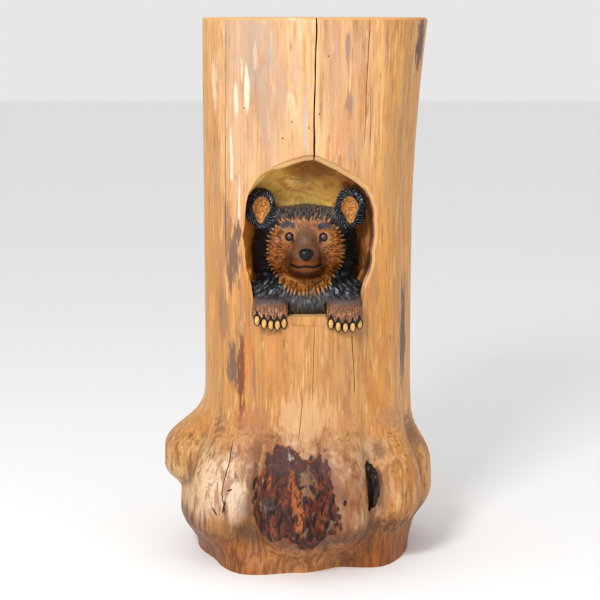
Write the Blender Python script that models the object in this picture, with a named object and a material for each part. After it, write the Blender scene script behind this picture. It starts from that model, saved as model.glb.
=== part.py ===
"""A bear looking out of a niche in a standing pine log that has a burl round its foot.

The whole work is carved from one length of trunk, so it is one solid. The log stands on its
sawn underside. Metres, +Z up, the carved front faces -Y, and the origin is the middle of the
underside. A bearing is an angle round the log: 0 is the front, 90 degrees the right side.
"""
import math

import bmesh
import bpy
from mathutils import Matrix, Vector

# The log
LOG_HEIGHT = 1.20
LOG_RADIUS = 0.230
TOP_CHAMFER = 0.005
TOP_FLARE = 0.032
TOP_FLARE_LENGTH = 0.45
ROOT_FLARE = 0.012
ROOT_FLARE_HEIGHT = 0.42
BURL_HEIGHT = 0.32

# The bear, which is carved in place, and the niche cut round it
EAR_SPAN = 0.265
BEAR_OFFSET = -0.004
EAR_GAP = 0.014
HEADROOM = 0.086
SILL_HEIGHT = 0.569
NICHE_DEPTH = 0.185
NICHE_OFFSET = 0.007
FACE_SETBACK = 0.040
PAW_RELIEF = 0.022

# How finely the solid is faceted
COLUMNS = 60
SHAFT_RING_GAP = 0.085
BURL_RING_GAP = 0.020
CARVING_VOXEL = 0.0055
CARVING_KEPT = 0.102
SMOOTHING_PASSES = 4

# Small pieces reach this far into what they grow from
OVERLAP = 0.006

# Burl lumps: bearing in degrees, height as a share of the burl's, half width in degrees, reach
# up and reach down as shares of the burl's height, and swelling as a share of the log's radius
BURL_LUMPS = [
    (-90, 0.71, 20, 0.20, 0.21, 0.385),
    (-82, 0.34, 27, 0.38, 0.36, 0.205),
    (-50, 0.45, 18, 0.33, 0.31, 0.275),
    (-8, 0.45, 15, 0.34, 0.29, 0.285),
    (18, 0.49, 11.5, 0.30, 0.25, 0.245),
    (51, 0.58, 16, 0.26, 0.25, 0.26),
    (88, 0.58, 20, 0.21, 0.25, 0.19),
    (124, 0.55, 20, 0.28, 0.26, 0.24),
    (161, 0.50, 19, 0.30, 0.26, 0.22),
    (-161, 0.58, 20, 0.28, 0.28, 0.25),
    (-126, 0.48, 18, 0.32, 0.27, 0.23),
]
BELT_SWELLING = 0.05
LUMP_TOP_SQUARENESS = 1.3
LUMP_BOTTOM_SQUARENESS = 2.1
LUMP_CREASE = 4.6

# The sawn foot under the burl: bearing, and the foot's radius as a share of the log's there
FOOT = [
    (-180, 1.06), (-140, 1.04), (-95, 1.09), (-63, 1.04), (-33, 1.19), (-6, 0.99), (20, 0.85),
    (44, 1.06), (74, 1.01), (110, 1.00), (145, 1.08), (180, 1.06),
]
FOOT_HEIGHT = 0.10

# A bark pocket in the right of the burl: bearing, height, and half sizes across, deep and high
BARK_POCKET = (31.5, 0.186, 0.0165, 0.034, 0.062)

# The drying check from the top edge to the niche: place across at its ends, width and depth
CHECK_ENDS = (0.017, 0.013)
CHECK_WIDTH = 0.0044
CHECK_DEPTH = 0.045

# Shallow flutes down the shaft: how many round the log, depth, and turn in radians
FLUTES = [(4, 0.0028, 0.6), (7, 0.0020, 2.1), (11, 0.0013, 4.0)]

# The niche's mouth, as shares of its half width and of its height above the sill
NICHE_MOUTH = [
    (-0.80, 0.00), (-0.83, 0.10), (-0.93, 0.24), (-0.985, 0.42), (-0.96, 0.62), (-0.86, 0.79),
    (-0.66, 0.90), (-0.30, 0.957), (0.07, 1.00), (0.32, 0.95), (0.63, 0.88), (0.88, 0.80),
    (1.02, 0.64), (1.03, 0.44), (0.97, 0.24), (0.84, 0.10), (0.81, 0.00),
]

# The niche's hollow, front to back: share of its depth and share of its mouth's size
NICHE_HOLLOW = [(-0.60, 1.0), (0.34, 1.0), (0.60, 0.94), (0.80, 0.82), (0.93, 0.62), (1.0, 0.34)]

# The bear's masses, as shares of the ear span: middle across, setback of the front behind the
# muzzle's tip, middle up from the sill, and half sizes across, deep and high
SKULL = (0.0, 0.185, 0.560, 0.395, 0.330, 0.325)
CROWN = (0.0, 0.190, 0.745, 0.300, 0.260, 0.140)
CHEEKS = (-0.01, 0.200, 0.400, 0.425, 0.300, 0.290)
BROW = (0.0, 0.150, 0.655, 0.230, 0.200, 0.120)
BRIDGE = (0.0, 0.095, 0.575, 0.095, 0.150, 0.115)
MUZZLE = (0.0, 0.012, 0.474, 0.130, 0.215, 0.112)
CHIN = (0.0, 0.062, 0.384, 0.104, 0.190, 0.064)
NECK = (0.0, 0.210, 0.230, 0.440, 0.340, 0.250)
CHEST = (0.0, 0.115, 0.065, 0.330, 0.400, 0.170)
SHOULDERS = (0.01, 0.260, 0.150, 0.500, 0.300, 0.160)

# Features, as shares of the ear span, across and up from the sill
EAR_MIDDLE = (0.372, 0.852)
EAR_SIZE = (0.128, 0.164)
EAR_THICKNESS = 0.066
EAR_SETBACK = 0.260
EAR_HOLLOW = (0.082, 0.075, 0.108)
EAR_LEAN = math.radians(-5)
EYE_MIDDLE = (0.140, 0.630)
EYE_RADIUS = 0.038
NOSE_MIDDLE = (0.004, 0.508)
NOSE_SIZE = (0.054, 0.042, 0.044)
MOUTH_HEIGHT = 0.412
MOUTH_HALF_WIDTH = 0.128
MOUTH_GROOVE = 0.011
FACE_MIDDLE = 0.488
FACE_SIZE = (0.330, 0.330)
FACE_RELIEF = 0.017
RUFF_LOCKS = 38
LOCK_LENGTH = 0.074

# Forearms and paws, as shares of the ear span
PAW_MIDDLES = ((-0.287, 0.034), (0.310, 0.030))
PAW_HALF_WIDTH = 0.150
PAW_HALF_HEIGHT = 0.116
FOREARM_HALF_WIDTH = 0.146
CLAWS = 5
CLAW_SIZE = (0.0245, 0.038, 0.043)


def front_y():
    """Where the log's surface would be at the front, in the middle of the carving."""
    return -LOG_RADIUS


def unit(share):
    """A share of the bear's ear span as a length."""
    return share * EAR_SPAN


def bump(offset, squareness=LUMP_TOP_SQUARENESS):
    """A round hill, 1 at its middle and nearly 0 at two reaches from it."""
    return math.exp(-abs(offset) ** (2 * squareness))


def turned(bearing, middle):
    """The angle from one bearing to another, in degrees, the short way round."""
    return (bearing - middle + 180) % 360 - 180


def ease(value):
    """0 below 0, 1 above 1, and a smooth step between."""
    value = min(max(value, 0.0), 1.0)
    return value * value * (3 - 2 * value)


def lump_swelling(lump, bearing, height):
    """How far one burl lump stands out of the log, with its lower edge the steeper one."""
    middle, share, half_width, up, down, swelling = lump
    rise = height / BURL_HEIGHT - share
    around = turned(bearing, middle) / half_width
    if rise > 0:
        return swelling * LOG_RADIUS * bump(math.hypot(around, rise / up) / 1.25)
    away = math.hypot(around, rise / down) / 1.25
    steep = ease(abs(rise / down) / max(abs(around), 0.5))
    squareness = LUMP_TOP_SQUARENESS + (LUMP_BOTTOM_SQUARENESS - LUMP_TOP_SQUARENESS) * steep
    return swelling * LOG_RADIUS * bump(away, squareness)


def burl_swelling(bearing, height):
    """The burl: a low belt round the log with lumps that meet in creases."""
    belt = BELT_SWELLING * LOG_RADIUS * bump((height / BURL_HEIGHT - 0.52) / 0.38)
    parts = [belt] + [lump_swelling(lump, bearing, height) for lump in BURL_LUMPS]
    return sum(part ** LUMP_CREASE for part in parts) ** (1 / LUMP_CREASE)


def foot_share(bearing):
    """The sawn foot's radius at a bearing, as a share of the log's."""
    bearing = turned(bearing, 0)
    for (low, first), (high, second) in zip(FOOT, FOOT[1:]):
        if low <= bearing <= high:
            return first + (second - first) * ease((bearing - low) / (high - low))
    return FOOT[0][1]


def log_radius(bearing, height):
    """The log's radius at a bearing in degrees and a height."""
    angle = math.radians(bearing)
    radius = LOG_RADIUS
    radius += sum(depth * math.sin(count * angle + turn) for count, depth, turn in FLUTES)
    rise = (height - LOG_HEIGHT + TOP_FLARE_LENGTH) / TOP_FLARE_LENGTH
    radius += TOP_FLARE * max(rise, 0.0) ** 1.6 * bump(turned(bearing, 88) / 62)
    radius += ROOT_FLARE * ease(1 - height / ROOT_FLARE_HEIGHT)
    low = ease(1 - height / FOOT_HEIGHT)
    radius += (foot_share(bearing) * LOG_RADIUS - radius) * low
    return radius + burl_swelling(bearing, height) * (1 - low)


def on_log(bearing, height, inset=0.0):
    """The point on the log's surface at a bearing and a height."""
    angle = math.radians(bearing)
    radius = log_radius(bearing, height) - inset
    return Vector((radius * math.sin(angle), -radius * math.cos(angle), height))


def new_object(name, bm):
    """Makes an object of a bmesh, with its faces pointing out."""
    bmesh.ops.recalc_face_normals(bm, faces=bm.faces)
    mesh = bpy.data.meshes.new(name)
    bm.to_mesh(mesh)
    bm.free()
    obj = bpy.data.objects.new(name, mesh)
    bpy.context.scene.collection.objects.link(obj)
    return obj


def baked(obj):
    """Gives an object the mesh that its modifiers make."""
    graph = bpy.context.evaluated_depsgraph_get()
    mesh = bpy.data.meshes.new_from_object(obj.evaluated_get(graph))
    obj.modifiers.clear()
    obj.data = mesh
    return obj


def combined(base, tool, operation):
    """Joins a tool to a base, or cuts it out, and removes the tool."""
    boolean = base.modifiers.new("Combine", "BOOLEAN")
    boolean.operation = operation
    boolean.object = tool
    baked(base)
    bpy.data.objects.remove(tool)
    return base


def loft(name, rings):
    """A closed solid through rings of points, each ring in the same order."""
    bm = bmesh.new()
    rows = [[bm.verts.new(point) for point in ring] for ring in rings]
    for low, high in zip(rows, rows[1:]):
        for i in range(len(low)):
            j = (i + 1) % len(low)
            bm.faces.new((low[i], low[j], high[j], high[i]))
    bm.faces.new(list(reversed(rows[0])))
    bm.faces.new(rows[-1])
    return new_object(name, bm)


def ellipsoid(name, middle, size, turn=None, segments=16, roundness=1.0):
    """A ball stretched to three half sizes; a roundness under 1 fills out its corners."""
    bm = bmesh.new()
    placed = Matrix.Translation(middle) @ (turn or Matrix.Identity(4)) @ Matrix.Diagonal((*size, 1))
    bmesh.ops.create_uvsphere(bm, u_segments=segments, v_segments=segments // 2 + 2, radius=1)
    for vert in bm.verts:
        filled = [math.copysign(abs(value) ** roundness, value) for value in vert.co]
        vert.co = placed @ Vector(filled)
    return new_object(name, bm)


def tube(name, points, radius, sides=6):
    """A round bar through points, used to cut a groove."""
    rings = []
    for i, point in enumerate(points):
        before, after = points[max(i - 1, 0)], points[min(i + 1, len(points) - 1)]
        across = (after - before).to_track_quat("Z", "Y").to_matrix()
        turns = [2 * math.pi * k / sides for k in range(sides)]
        rings.append(
            [point + across @ Vector((radius * math.cos(a), radius * math.sin(a), 0)) for a in turns]
        )
    return loft(name, rings)


def log():
    """The log with its burl, sawn flat at both ends and chamfered at the top."""
    heights = []
    height = 0.0
    while height < LOG_HEIGHT - TOP_CHAMFER - SHAFT_RING_GAP / 2:
        heights.append(height)
        height += BURL_RING_GAP if height < BURL_HEIGHT * 1.1 else SHAFT_RING_GAP
    heights.append(LOG_HEIGHT - TOP_CHAMFER)
    bearings = [360 * i / COLUMNS for i in range(COLUMNS)]
    rings = [[on_log(bearing, h) for bearing in bearings] for h in heights]
    rings.append([on_log(bearing, LOG_HEIGHT, TOP_CHAMFER) for bearing in bearings])
    return loft("carved_bear_log", rings)


def bear_height():
    """The height of the ears' tops above the sill."""
    return unit(EAR_MIDDLE[1] + EAR_SIZE[1])


def niche_half_width():
    return EAR_SPAN / 2 + EAR_GAP


def niche_cutter():
    """The hollow behind the bear, lofted from its mouth to a rounded back."""
    height = bear_height() + HEADROOM
    middle = (BEAR_OFFSET + NICHE_OFFSET, SILL_HEIGHT + height / 2)
    rings = []
    for depth, size in NICHE_HOLLOW:
        y = front_y() + depth * NICHE_DEPTH
        rings.append([
            Vector((
                middle[0] + across * niche_half_width() * size,
                y,
                middle[1] + (up - 0.5) * height * size,
            ))
            for across, up in NICHE_MOUTH
        ])
    cutter = loft("niche", rings)
    rounding = cutter.modifiers.new("Rounded", "BEVEL")
    rounding.width = 0.012
    rounding.segments = 1
    rounding.limit_method = "ANGLE"
    rounding.angle_limit = math.radians(40)
    return baked(cutter)


def pocket_cutter():
    """The slit of dead bark in the right of the burl."""
    bearing, height, *size = BARK_POCKET
    turn = Matrix.Rotation(math.radians(bearing), 4, "Z")
    return ellipsoid("pocket", on_log(bearing, height), size, turn, 14, 0.85)


def check_cutter():
    """A thin wedge from the log's top edge down to the niche."""
    rings = []
    top, foot = LOG_HEIGHT + OVERLAP, SILL_HEIGHT + bear_height() + HEADROOM - OVERLAP * 3
    for share in (0.0, 0.25, 0.5, 0.75, 1.0):
        x = CHECK_ENDS[0] + (CHECK_ENDS[1] - CHECK_ENDS[0]) * share
        x += 0.0012 * math.sin(share * 9)
        half = CHECK_WIDTH / 2 * (1 - 0.35 * share)
        z = top + (foot - top) * share
        front = front_y() - 0.02
        back = front_y() + CHECK_DEPTH
        rings.append([
            Vector((x - half, front, z)), Vector((x + half, front, z)), Vector((x + half, front + 0.02, z)),
            Vector((x, back, z)), Vector((x - half, front + 0.02, z)),
        ])
    return loft("check", rings)


def muzzle_tip_y():
    return front_y() + FACE_SETBACK - unit(MUZZLE[4]) * 0.22


def mass_at(mass):
    """A mass's middle and half sizes in metres."""
    across, setback, up, *half = mass
    size = [unit(value) for value in half]
    y = muzzle_tip_y() + unit(setback) + size[1]
    return Vector((BEAR_OFFSET + unit(across), y, SILL_HEIGHT + unit(up))), size


HEAD_MASSES = (SKULL, CROWN, CHEEKS, BROW, BRIDGE, MUZZLE, CHIN)


def front_of(body, x, z):
    """The place where a level line from the front meets the carving."""
    bpy.context.view_layer.update()
    hit, place, _, _ = body.ray_cast(Vector((x, front_y() * 2, z)), Vector((0, 1, 0)))
    return place if hit else Vector((x, mass_at(SKULL)[0].y, z))


def paw_middle(side):
    """The middle of a paw, hung over the sill on the log's front."""
    across, up = PAW_MIDDLES[side]
    x = BEAR_OFFSET + unit(across)
    depth = math.sqrt(LOG_RADIUS ** 2 - x ** 2)
    return Vector((x, -depth - PAW_RELIEF + unit(0.06), SILL_HEIGHT + unit(up)))


def ear_middle(side):
    x = BEAR_OFFSET + (-1, 1)[side] * unit(EAR_MIDDLE[0])
    return Vector((x, muzzle_tip_y() + unit(EAR_SETBACK), SILL_HEIGHT + unit(EAR_MIDDLE[1])))


def limb_masses(side):
    """A forearm that lies on the sill from the shoulder, and the paw hung over its edge."""
    pieces = []
    paw = paw_middle(side)
    shoulder = Vector((paw.x, front_y() + unit(0.40), SILL_HEIGHT + unit(0.13)))
    wrist = Vector((paw.x, paw.y + unit(0.03), SILL_HEIGHT + unit(0.045)))
    for step in range(5):
        share = step / 4
        place = shoulder.lerp(wrist, share)
        size = (unit(FOREARM_HALF_WIDTH), unit(0.11), unit(0.135 - 0.02 * share))
        pieces.append(ellipsoid("forearm", place, size, roundness=0.72))
    size = (unit(PAW_HALF_WIDTH), unit(0.082), unit(PAW_HALF_HEIGHT))
    pieces.append(ellipsoid("paw", paw, size, segments=20, roundness=0.68))
    return pieces


def ear_lobes(side):
    """An ear's lobe and the root that ties it to the side of the head."""
    sign = (-1, 1)[side]
    middle = ear_middle(side)
    turn = Matrix.Rotation(sign * EAR_LEAN, 4, "Y")
    size = (unit(EAR_SIZE[0]), unit(EAR_THICKNESS), unit(EAR_SIZE[1]))
    lobe = ellipsoid("ear", middle, size, turn, 20, 0.9)
    root = middle + Vector((-sign * unit(0.085), unit(0.05), -unit(0.12)))
    return [lobe, ellipsoid("ear_root", root, (unit(0.125), unit(0.10), unit(0.13)), turn)]


def carving_masses():
    """The rounded masses of head, ears, neck, chest and limbs, before they are blended."""
    pieces = []
    back = front_y() + NICHE_DEPTH + OVERLAP * 2
    for mass in HEAD_MASSES + (NECK, CHEST, SHOULDERS):
        middle, size = mass_at(mass)
        pieces.append(ellipsoid("mass", middle, size, segments=24))
    for mass in (SKULL, NECK, CHEST):
        middle, size = mass_at(mass)
        reach = (back - middle.y) / 2
        root = Vector((middle.x, middle.y + reach, middle.z))
        pieces.append(ellipsoid("root", root, (size[0] * 0.8, reach * 1.3, size[2] * 0.8), segments=24))
    floor, size = mass_at(CHEST)
    size = (size[0] * 1.15, size[1] * 0.9, unit(0.10))
    pieces.append(ellipsoid("root", (floor.x, floor.y + size[1] * 0.1, SILL_HEIGHT), size, segments=24))
    for side in (0, 1):
        pieces += limb_masses(side) + ear_lobes(side)
    return pieces


def blended(pieces):
    """Melts overlapping masses into one smooth skin with few faces."""
    base = pieces[0]
    for piece in pieces[1:]:
        bm = bmesh.new()
        bm.from_mesh(base.data)
        bm.from_mesh(piece.data)
        bm.to_mesh(base.data)
        bm.free()
        bpy.data.objects.remove(piece)
    remesh = base.modifiers.new("Blend", "REMESH")
    remesh.mode = "VOXEL"
    remesh.voxel_size = CARVING_VOXEL
    smooth = base.modifiers.new("Soften", "SMOOTH")
    smooth.factor = 0.6
    smooth.iterations = SMOOTHING_PASSES
    fewer = base.modifiers.new("Fewer faces", "DECIMATE")
    fewer.ratio = CARVING_KEPT
    return baked(base)


def ear_hollow(side):
    """Cuts the hollow of an ear and leaves its rim."""
    turn = Matrix.Rotation((-1, 1)[side] * EAR_LEAN, 4, "Y")
    place = ear_middle(side) + Vector((0, -unit(EAR_THICKNESS) * 1.02, -unit(0.008)))
    return ellipsoid("ear_hollow", place, [unit(value) for value in EAR_HOLLOW], turn, 16)


def eye(side, body):
    """A round eye, set so that about half of it stands out of its socket."""
    x = BEAR_OFFSET + (-1, 1)[side] * unit(EYE_MIDDLE[0])
    radius = unit(EYE_RADIUS)
    place = front_of(body, x, SILL_HEIGHT + unit(EYE_MIDDLE[1])) + Vector((0, radius * 0.35, 0))
    return ellipsoid("eye", place, (radius, radius * 0.9, radius), segments=10)


def nose(body):
    """The nose pad, with two nostrils cut in its front."""
    x = BEAR_OFFSET + unit(NOSE_MIDDLE[0])
    size = [unit(value) for value in NOSE_SIZE]
    middle = front_of(body, x, SILL_HEIGHT + unit(NOSE_MIDDLE[1])) + Vector((0, size[1] * 0.35, 0))
    pad = ellipsoid("nose", middle, size, segments=14)
    for sign in (-1, 1):
        place = middle + Vector((sign * size[0] * 0.48, -size[1] * 0.86, -size[2] * 0.30))
        nostril = ellipsoid("nostril", place, (size[0] * 0.22, size[1] * 0.3, size[2] * 0.2), segments=6)
        combined(pad, nostril, "DIFFERENCE")
    return pad


def mouth_cutter(body):
    """A groove across the muzzle, lifted in the middle and turned up at its corners."""
    points = []
    steps = 10
    for i in range(steps + 1):
        share = 2 * i / steps - 1
        x = BEAR_OFFSET + unit(MOUTH_HALF_WIDTH) * share
        lift = unit(0.008) * math.cos(math.pi * share * 2) + unit(0.022) * share ** 6
        points.append(front_of(body, x, SILL_HEIGHT + unit(MOUTH_HEIGHT) + lift))
    return tube("mouth", points, unit(MOUTH_GROOVE))


def jagged_outline():
    """The face patch's edge, seen from the front: a ring of pointed locks, longest in the beard."""
    points = []
    for i in range(2 * RUFF_LOCKS):
        turn = math.pi * i / RUFF_LOCKS
        across, up = math.sin(turn), -math.cos(turn)
        length = LOCK_LENGTH * (1 + 0.7 * max(-up, 0.0) ** 3 + 0.2 * math.sin(i * 2.4))
        reach = length * (0.5 if i % 2 else -0.5)
        reach -= 0.035 * bump((turn - math.pi) / 0.22)
        x = BEAR_OFFSET + unit(across * (FACE_SIZE[0] + reach))
        z = SILL_HEIGHT + unit(FACE_MIDDLE + up * (FACE_SIZE[1] + reach))
        points.append((x, z))
    return points


def face_patch():
    """The face, raised a little from the head inside its jagged edge."""
    pieces = []
    for mass in HEAD_MASSES + (NECK, CHEST):
        middle, size = mass_at(mass)
        raised = [half + unit(FACE_RELIEF) for half in size]
        pieces.append(ellipsoid("face", middle, raised, segments=24))
    patch = blended(pieces)
    outline = jagged_outline()
    ends = (front_y() - 0.05, mass_at(NECK)[0].y)
    rings = [[Vector((x, y, z)) for x, z in outline] for y in ends]
    return combined(patch, loft("jagged", rings), "INTERSECT")


def claws(side):
    """Five claws along the lower front edge of a paw."""
    paw = paw_middle(side)
    pieces = []
    for i in range(CLAWS):
        share = 2 * i / (CLAWS - 1) - 1
        x = paw.x + share * unit(PAW_HALF_WIDTH) * 0.74
        y = paw.y - unit(0.062) + unit(0.012) * share ** 2
        z = paw.z - unit(0.070) - unit(0.028) * (1 - share ** 2)
        size = [unit(value) for value in CLAW_SIZE]
        pieces.append(ellipsoid("claw", Vector((x, y, z)), size, segments=8, roundness=0.8))
    return pieces


def bear():
    """The carved bear: blended masses with crisp features joined on."""
    body = blended(carving_masses())
    combined(body, face_patch(), "UNION")
    features = [eye(0, body), eye(1, body), nose(body)] + claws(0) + claws(1)
    for cutter in (ear_hollow(0), ear_hollow(1), mouth_cutter(body)):
        combined(body, cutter, "DIFFERENCE")
    for feature in features:
        combined(body, feature, "UNION")
    return body


def pine_finish():
    """Varnished pine, the colour of the log."""
    material = bpy.data.materials.new("varnished_pine")
    material.use_nodes = True
    shader = material.node_tree.nodes["Principled BSDF"]
    shader.inputs["Base Color"].default_value = (0.66, 0.38, 0.15, 1)
    shader.inputs["Roughness"].default_value = 0.38
    shader.inputs["Metallic"].default_value = 0.0
    return material


def build():
    """Removes what the file holds and models the carving."""
    for obj in list(bpy.data.objects):
        bpy.data.objects.remove(obj)
    carving = log()
    for cutter in (niche_cutter(), pocket_cutter(), check_cutter()):
        combined(carving, cutter, "DIFFERENCE")
    combined(carving, bear(), "UNION")
    carving.data.materials.clear()
    carving.data.materials.append(pine_finish())
    carving.data.shade_smooth()
    carving.data.set_sharp_from_angle(angle=math.radians(35))


build()
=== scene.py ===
# %% [markdown]
# # A bear looking out of a pine log
#
# The real object is one length of pine trunk with a burl round its foot. The carver peeled
# it, scooped a niche with a chainsaw, and left the bear's head, chest and paws standing in it.
# The bear was then burnt and painted, and the whole log varnished.
#
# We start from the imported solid, which gives the size and the place of everything. Two finer
# meshes then stand for it: the log and the bear. Splitting it there lets each of them have the
# mesh that suits it, an even sheet for the trunk and an even skin for the fur.

import math

import bpy
import numpy as np
from mathutils import Matrix, Vector


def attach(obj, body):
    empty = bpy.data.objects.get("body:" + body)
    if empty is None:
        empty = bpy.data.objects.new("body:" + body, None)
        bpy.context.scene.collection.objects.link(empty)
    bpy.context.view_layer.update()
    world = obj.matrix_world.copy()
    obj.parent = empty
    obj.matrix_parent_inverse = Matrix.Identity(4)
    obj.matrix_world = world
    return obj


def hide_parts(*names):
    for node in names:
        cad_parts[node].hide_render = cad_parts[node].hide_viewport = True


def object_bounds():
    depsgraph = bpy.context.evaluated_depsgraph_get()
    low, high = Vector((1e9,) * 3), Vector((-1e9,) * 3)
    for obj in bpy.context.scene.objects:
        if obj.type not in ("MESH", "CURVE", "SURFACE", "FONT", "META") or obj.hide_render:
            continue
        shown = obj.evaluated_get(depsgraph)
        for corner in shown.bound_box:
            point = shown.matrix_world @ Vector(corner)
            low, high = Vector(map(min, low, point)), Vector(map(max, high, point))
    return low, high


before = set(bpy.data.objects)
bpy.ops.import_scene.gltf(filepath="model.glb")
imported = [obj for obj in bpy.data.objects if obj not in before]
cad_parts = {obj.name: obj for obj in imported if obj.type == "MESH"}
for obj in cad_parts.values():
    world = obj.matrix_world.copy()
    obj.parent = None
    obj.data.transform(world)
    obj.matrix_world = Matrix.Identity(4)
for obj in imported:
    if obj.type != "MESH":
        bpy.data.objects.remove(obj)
solid_box = [list(corner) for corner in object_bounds()]
print("the solid's box:", solid_box)

# %% [markdown]
# ## The sizes
#
# Everything is in metres. The front looks along -Y. A bearing is an angle round the log in
# degrees, 0 at the front and 90 at the right. The bear's own sizes are shares of the span of
# its ears, so that head and paws grow together.

# %% Sizes of the log and of the bear
LOG_HEIGHT = 1.2
LOG_RADIUS = 0.23
TOP_CHAMFER = 0.005
TOP_FLARE = 0.032
TOP_FLARE_LENGTH = 0.45
ROOT_FLARE = 0.012
ROOT_FLARE_HEIGHT = 0.42
BURL_HEIGHT = 0.32
FRONT = -LOG_RADIUS
SILL = 0.569
EAR_SPAN = 0.265
MIDDLE = -0.004
NICHE_MIDDLE = 0.003
NICHE_HALF_WIDTH = 0.1465
NICHE_HEIGHT = 0.351
NICHE_DEPTH = 0.185
MUZZLE_TIP = FRONT + 0.04 - 0.0473 * EAR_SPAN


def unit(share):
    """A share of the bear's ear span as a length."""
    return share * EAR_SPAN


print("the bear's ears span", EAR_SPAN, "and the log is", LOG_HEIGHT, "high")

# %% [markdown]
# ## Shapes as formulas
#
# A trunk is nearly a turned shape, so one formula gives its radius at each bearing and height.
# The burl is a row of soft hills round the foot, and where two hills meet they leave a crease.
# Formulas are kinder than pulling points about, because the same hills can be placed again when
# the finish needs to know where the burl is.

# %% Hills, steps and angles
# Each lump: bearing, height as a share of the burl's, half width in degrees, its reach up and
# down as shares of the burl's height, and how far it stands out as a share of the log's radius
BURL_LUMPS = [
    (-90, 0.71, 20, 0.2, 0.21, 0.385),
    (-82, 0.34, 27, 0.38, 0.36, 0.205),
    (-50, 0.45, 18, 0.33, 0.31, 0.275),
    (-8, 0.45, 15, 0.34, 0.29, 0.285),
    (18, 0.49, 11.5, 0.3, 0.25, 0.245),
    (51, 0.58, 16, 0.26, 0.25, 0.26),
    (88, 0.58, 20, 0.21, 0.25, 0.19),
    (124, 0.55, 20, 0.28, 0.26, 0.24),
    (161, 0.5, 19, 0.3, 0.26, 0.22),
    (-161, 0.58, 20, 0.28, 0.28, 0.25),
    (-126, 0.48, 18, 0.32, 0.27, 0.23),
]
BELT_SWELLING = 0.05
LUMP_CREASE = 4.6
# The foot: its radius at some bearings, as shares of the log's
FOOT = [
    (-180, 1.06), (-140, 1.04), (-95, 1.09), (-63, 1.04), (-33, 1.19), (-6, 0.99), (20, 0.85),
    (44, 1.06), (74, 1.01), (110, 1.0), (145, 1.08), (180, 1.06),
]
FOOT_HEIGHT = 0.1
# Shallow flutes round the log: how many, how deep, and how far they are turned
FLUTES = [(4, 0.0028, 0.6), (7, 0.002, 2.1), (11, 0.0013, 4.0)]


def bump(offset, squareness=1.3):
    """A round hill, 1 at its middle and nearly 0 at two reaches from it."""
    return np.exp(-np.abs(offset) ** (2 * squareness))


def turned(bearing, middle):
    """The angle from one bearing to another, the short way round."""
    return (bearing - middle + 180) % 360 - 180


def ease(value):
    """0 below 0, 1 above 1, and a smooth step between."""
    value = np.clip(value, 0, 1)
    return value * value * (3 - 2 * value)


def noise(points, size, seed=0):
    """Smooth random values from -1 to 1, with about one hill to a cell of the given size."""
    grid = np.asarray(points, float) / size
    cell = np.floor(grid).astype(np.int64)
    part = ease(grid - cell)
    total = np.zeros(grid.shape[:-1])
    for corner in np.ndindex(2, 2, 2):
        x, y, z = np.moveaxis(cell + corner, -1, 0)
        mixed = (x * 73856093) ^ (y * 19349663) ^ (z * 83492791) ^ (seed * 15485863 + 7919)
        mixed = (mixed ^ (mixed >> 13)) * 1274126177 & 0x7FFFFFFF
        mixed = (mixed ^ (mixed >> 15)) * 2246822519 & 0x7FFFFFFF
        weight = np.prod(np.where(corner, part, 1 - part), axis=-1)
        total += (mixed / 0x3FFFFFFF - 1) * weight
    return total


# %% The log's radius
def lump_swelling(lump, bearing, height):
    """How far one hill of the burl stands out, with its lower edge the steeper one."""
    middle, share, half_width, up, down, swelling = lump
    rise = height / BURL_HEIGHT - share
    around = turned(bearing, middle) / half_width
    steep = ease(np.abs(rise / down) / np.maximum(np.abs(around), 0.5))
    squareness = np.where(rise > 0, 1.3, 1.3 + 0.8 * steep)
    away = np.hypot(around, rise / np.where(rise > 0, up, down)) / 1.25
    return swelling * LOG_RADIUS * bump(away, squareness)


def burl_swelling(bearing, height):
    belt = BELT_SWELLING * LOG_RADIUS * bump((height / BURL_HEIGHT - 0.52) / 0.38)
    parts = [belt] + [lump_swelling(lump, bearing, height) for lump in BURL_LUMPS]
    return sum(part ** LUMP_CREASE for part in parts) ** (1 / LUMP_CREASE)


def foot_share(bearing):
    """The sawn foot's radius at a bearing, as a share of the log's."""
    places, shares = np.array(FOOT).T
    bearing = turned(bearing, 0)
    left = np.clip(np.searchsorted(places, bearing, side="right") - 1, 0, len(FOOT) - 2)
    part = ease((bearing - places[left]) / (places[left + 1] - places[left]))
    return shares[left] + (shares[left + 1] - shares[left]) * part


def log_radius(bearing, height):
    """The log's radius at a bearing and a height, as in the solid."""
    bearing, height = np.asarray(bearing, float), np.asarray(height, float)
    angle = np.radians(bearing)
    radius = LOG_RADIUS + sum(depth * np.sin(count * angle + turn) for count, depth, turn in FLUTES)
    rise = (height - LOG_HEIGHT + TOP_FLARE_LENGTH) / TOP_FLARE_LENGTH
    radius = radius + TOP_FLARE * np.maximum(rise, 0) ** 1.6 * bump(turned(bearing, 88) / 62)
    radius = radius + ROOT_FLARE * ease(1 - height / ROOT_FLARE_HEIGHT)
    low = ease(1 - height / FOOT_HEIGHT)
    radius = radius + (foot_share(bearing) * LOG_RADIUS - radius) * low
    return radius + burl_swelling(bearing, height) * (1 - low)


def around_log(bearing, height, radius):
    """Points at bearings, heights and radii, as one array of places."""
    angle = np.radians(bearing)
    return np.stack(np.broadcast_arrays(radius * np.sin(angle), -radius * np.cos(angle), height), -1)


print("radius at the burl's front:", round(float(log_radius(-8, 0.15)), 4))

# %% [markdown]
# ## What peeling and growth leave on the surface
#
# A drawknife leaves long shallow ripples down the trunk. On the burl the wood swells in small
# lumps, its upper edge is wrinkled where the grain bends, and one patch of bark was left on
# the front as a rough crust. We add these to the radius, a few millimetres at most.

# %% Ripples, lumps, wrinkles and the patch of bark
BARK_MIDDLE = (-5.4, 0.184)
BARK_SIZE = (18.6, 0.11)


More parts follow.
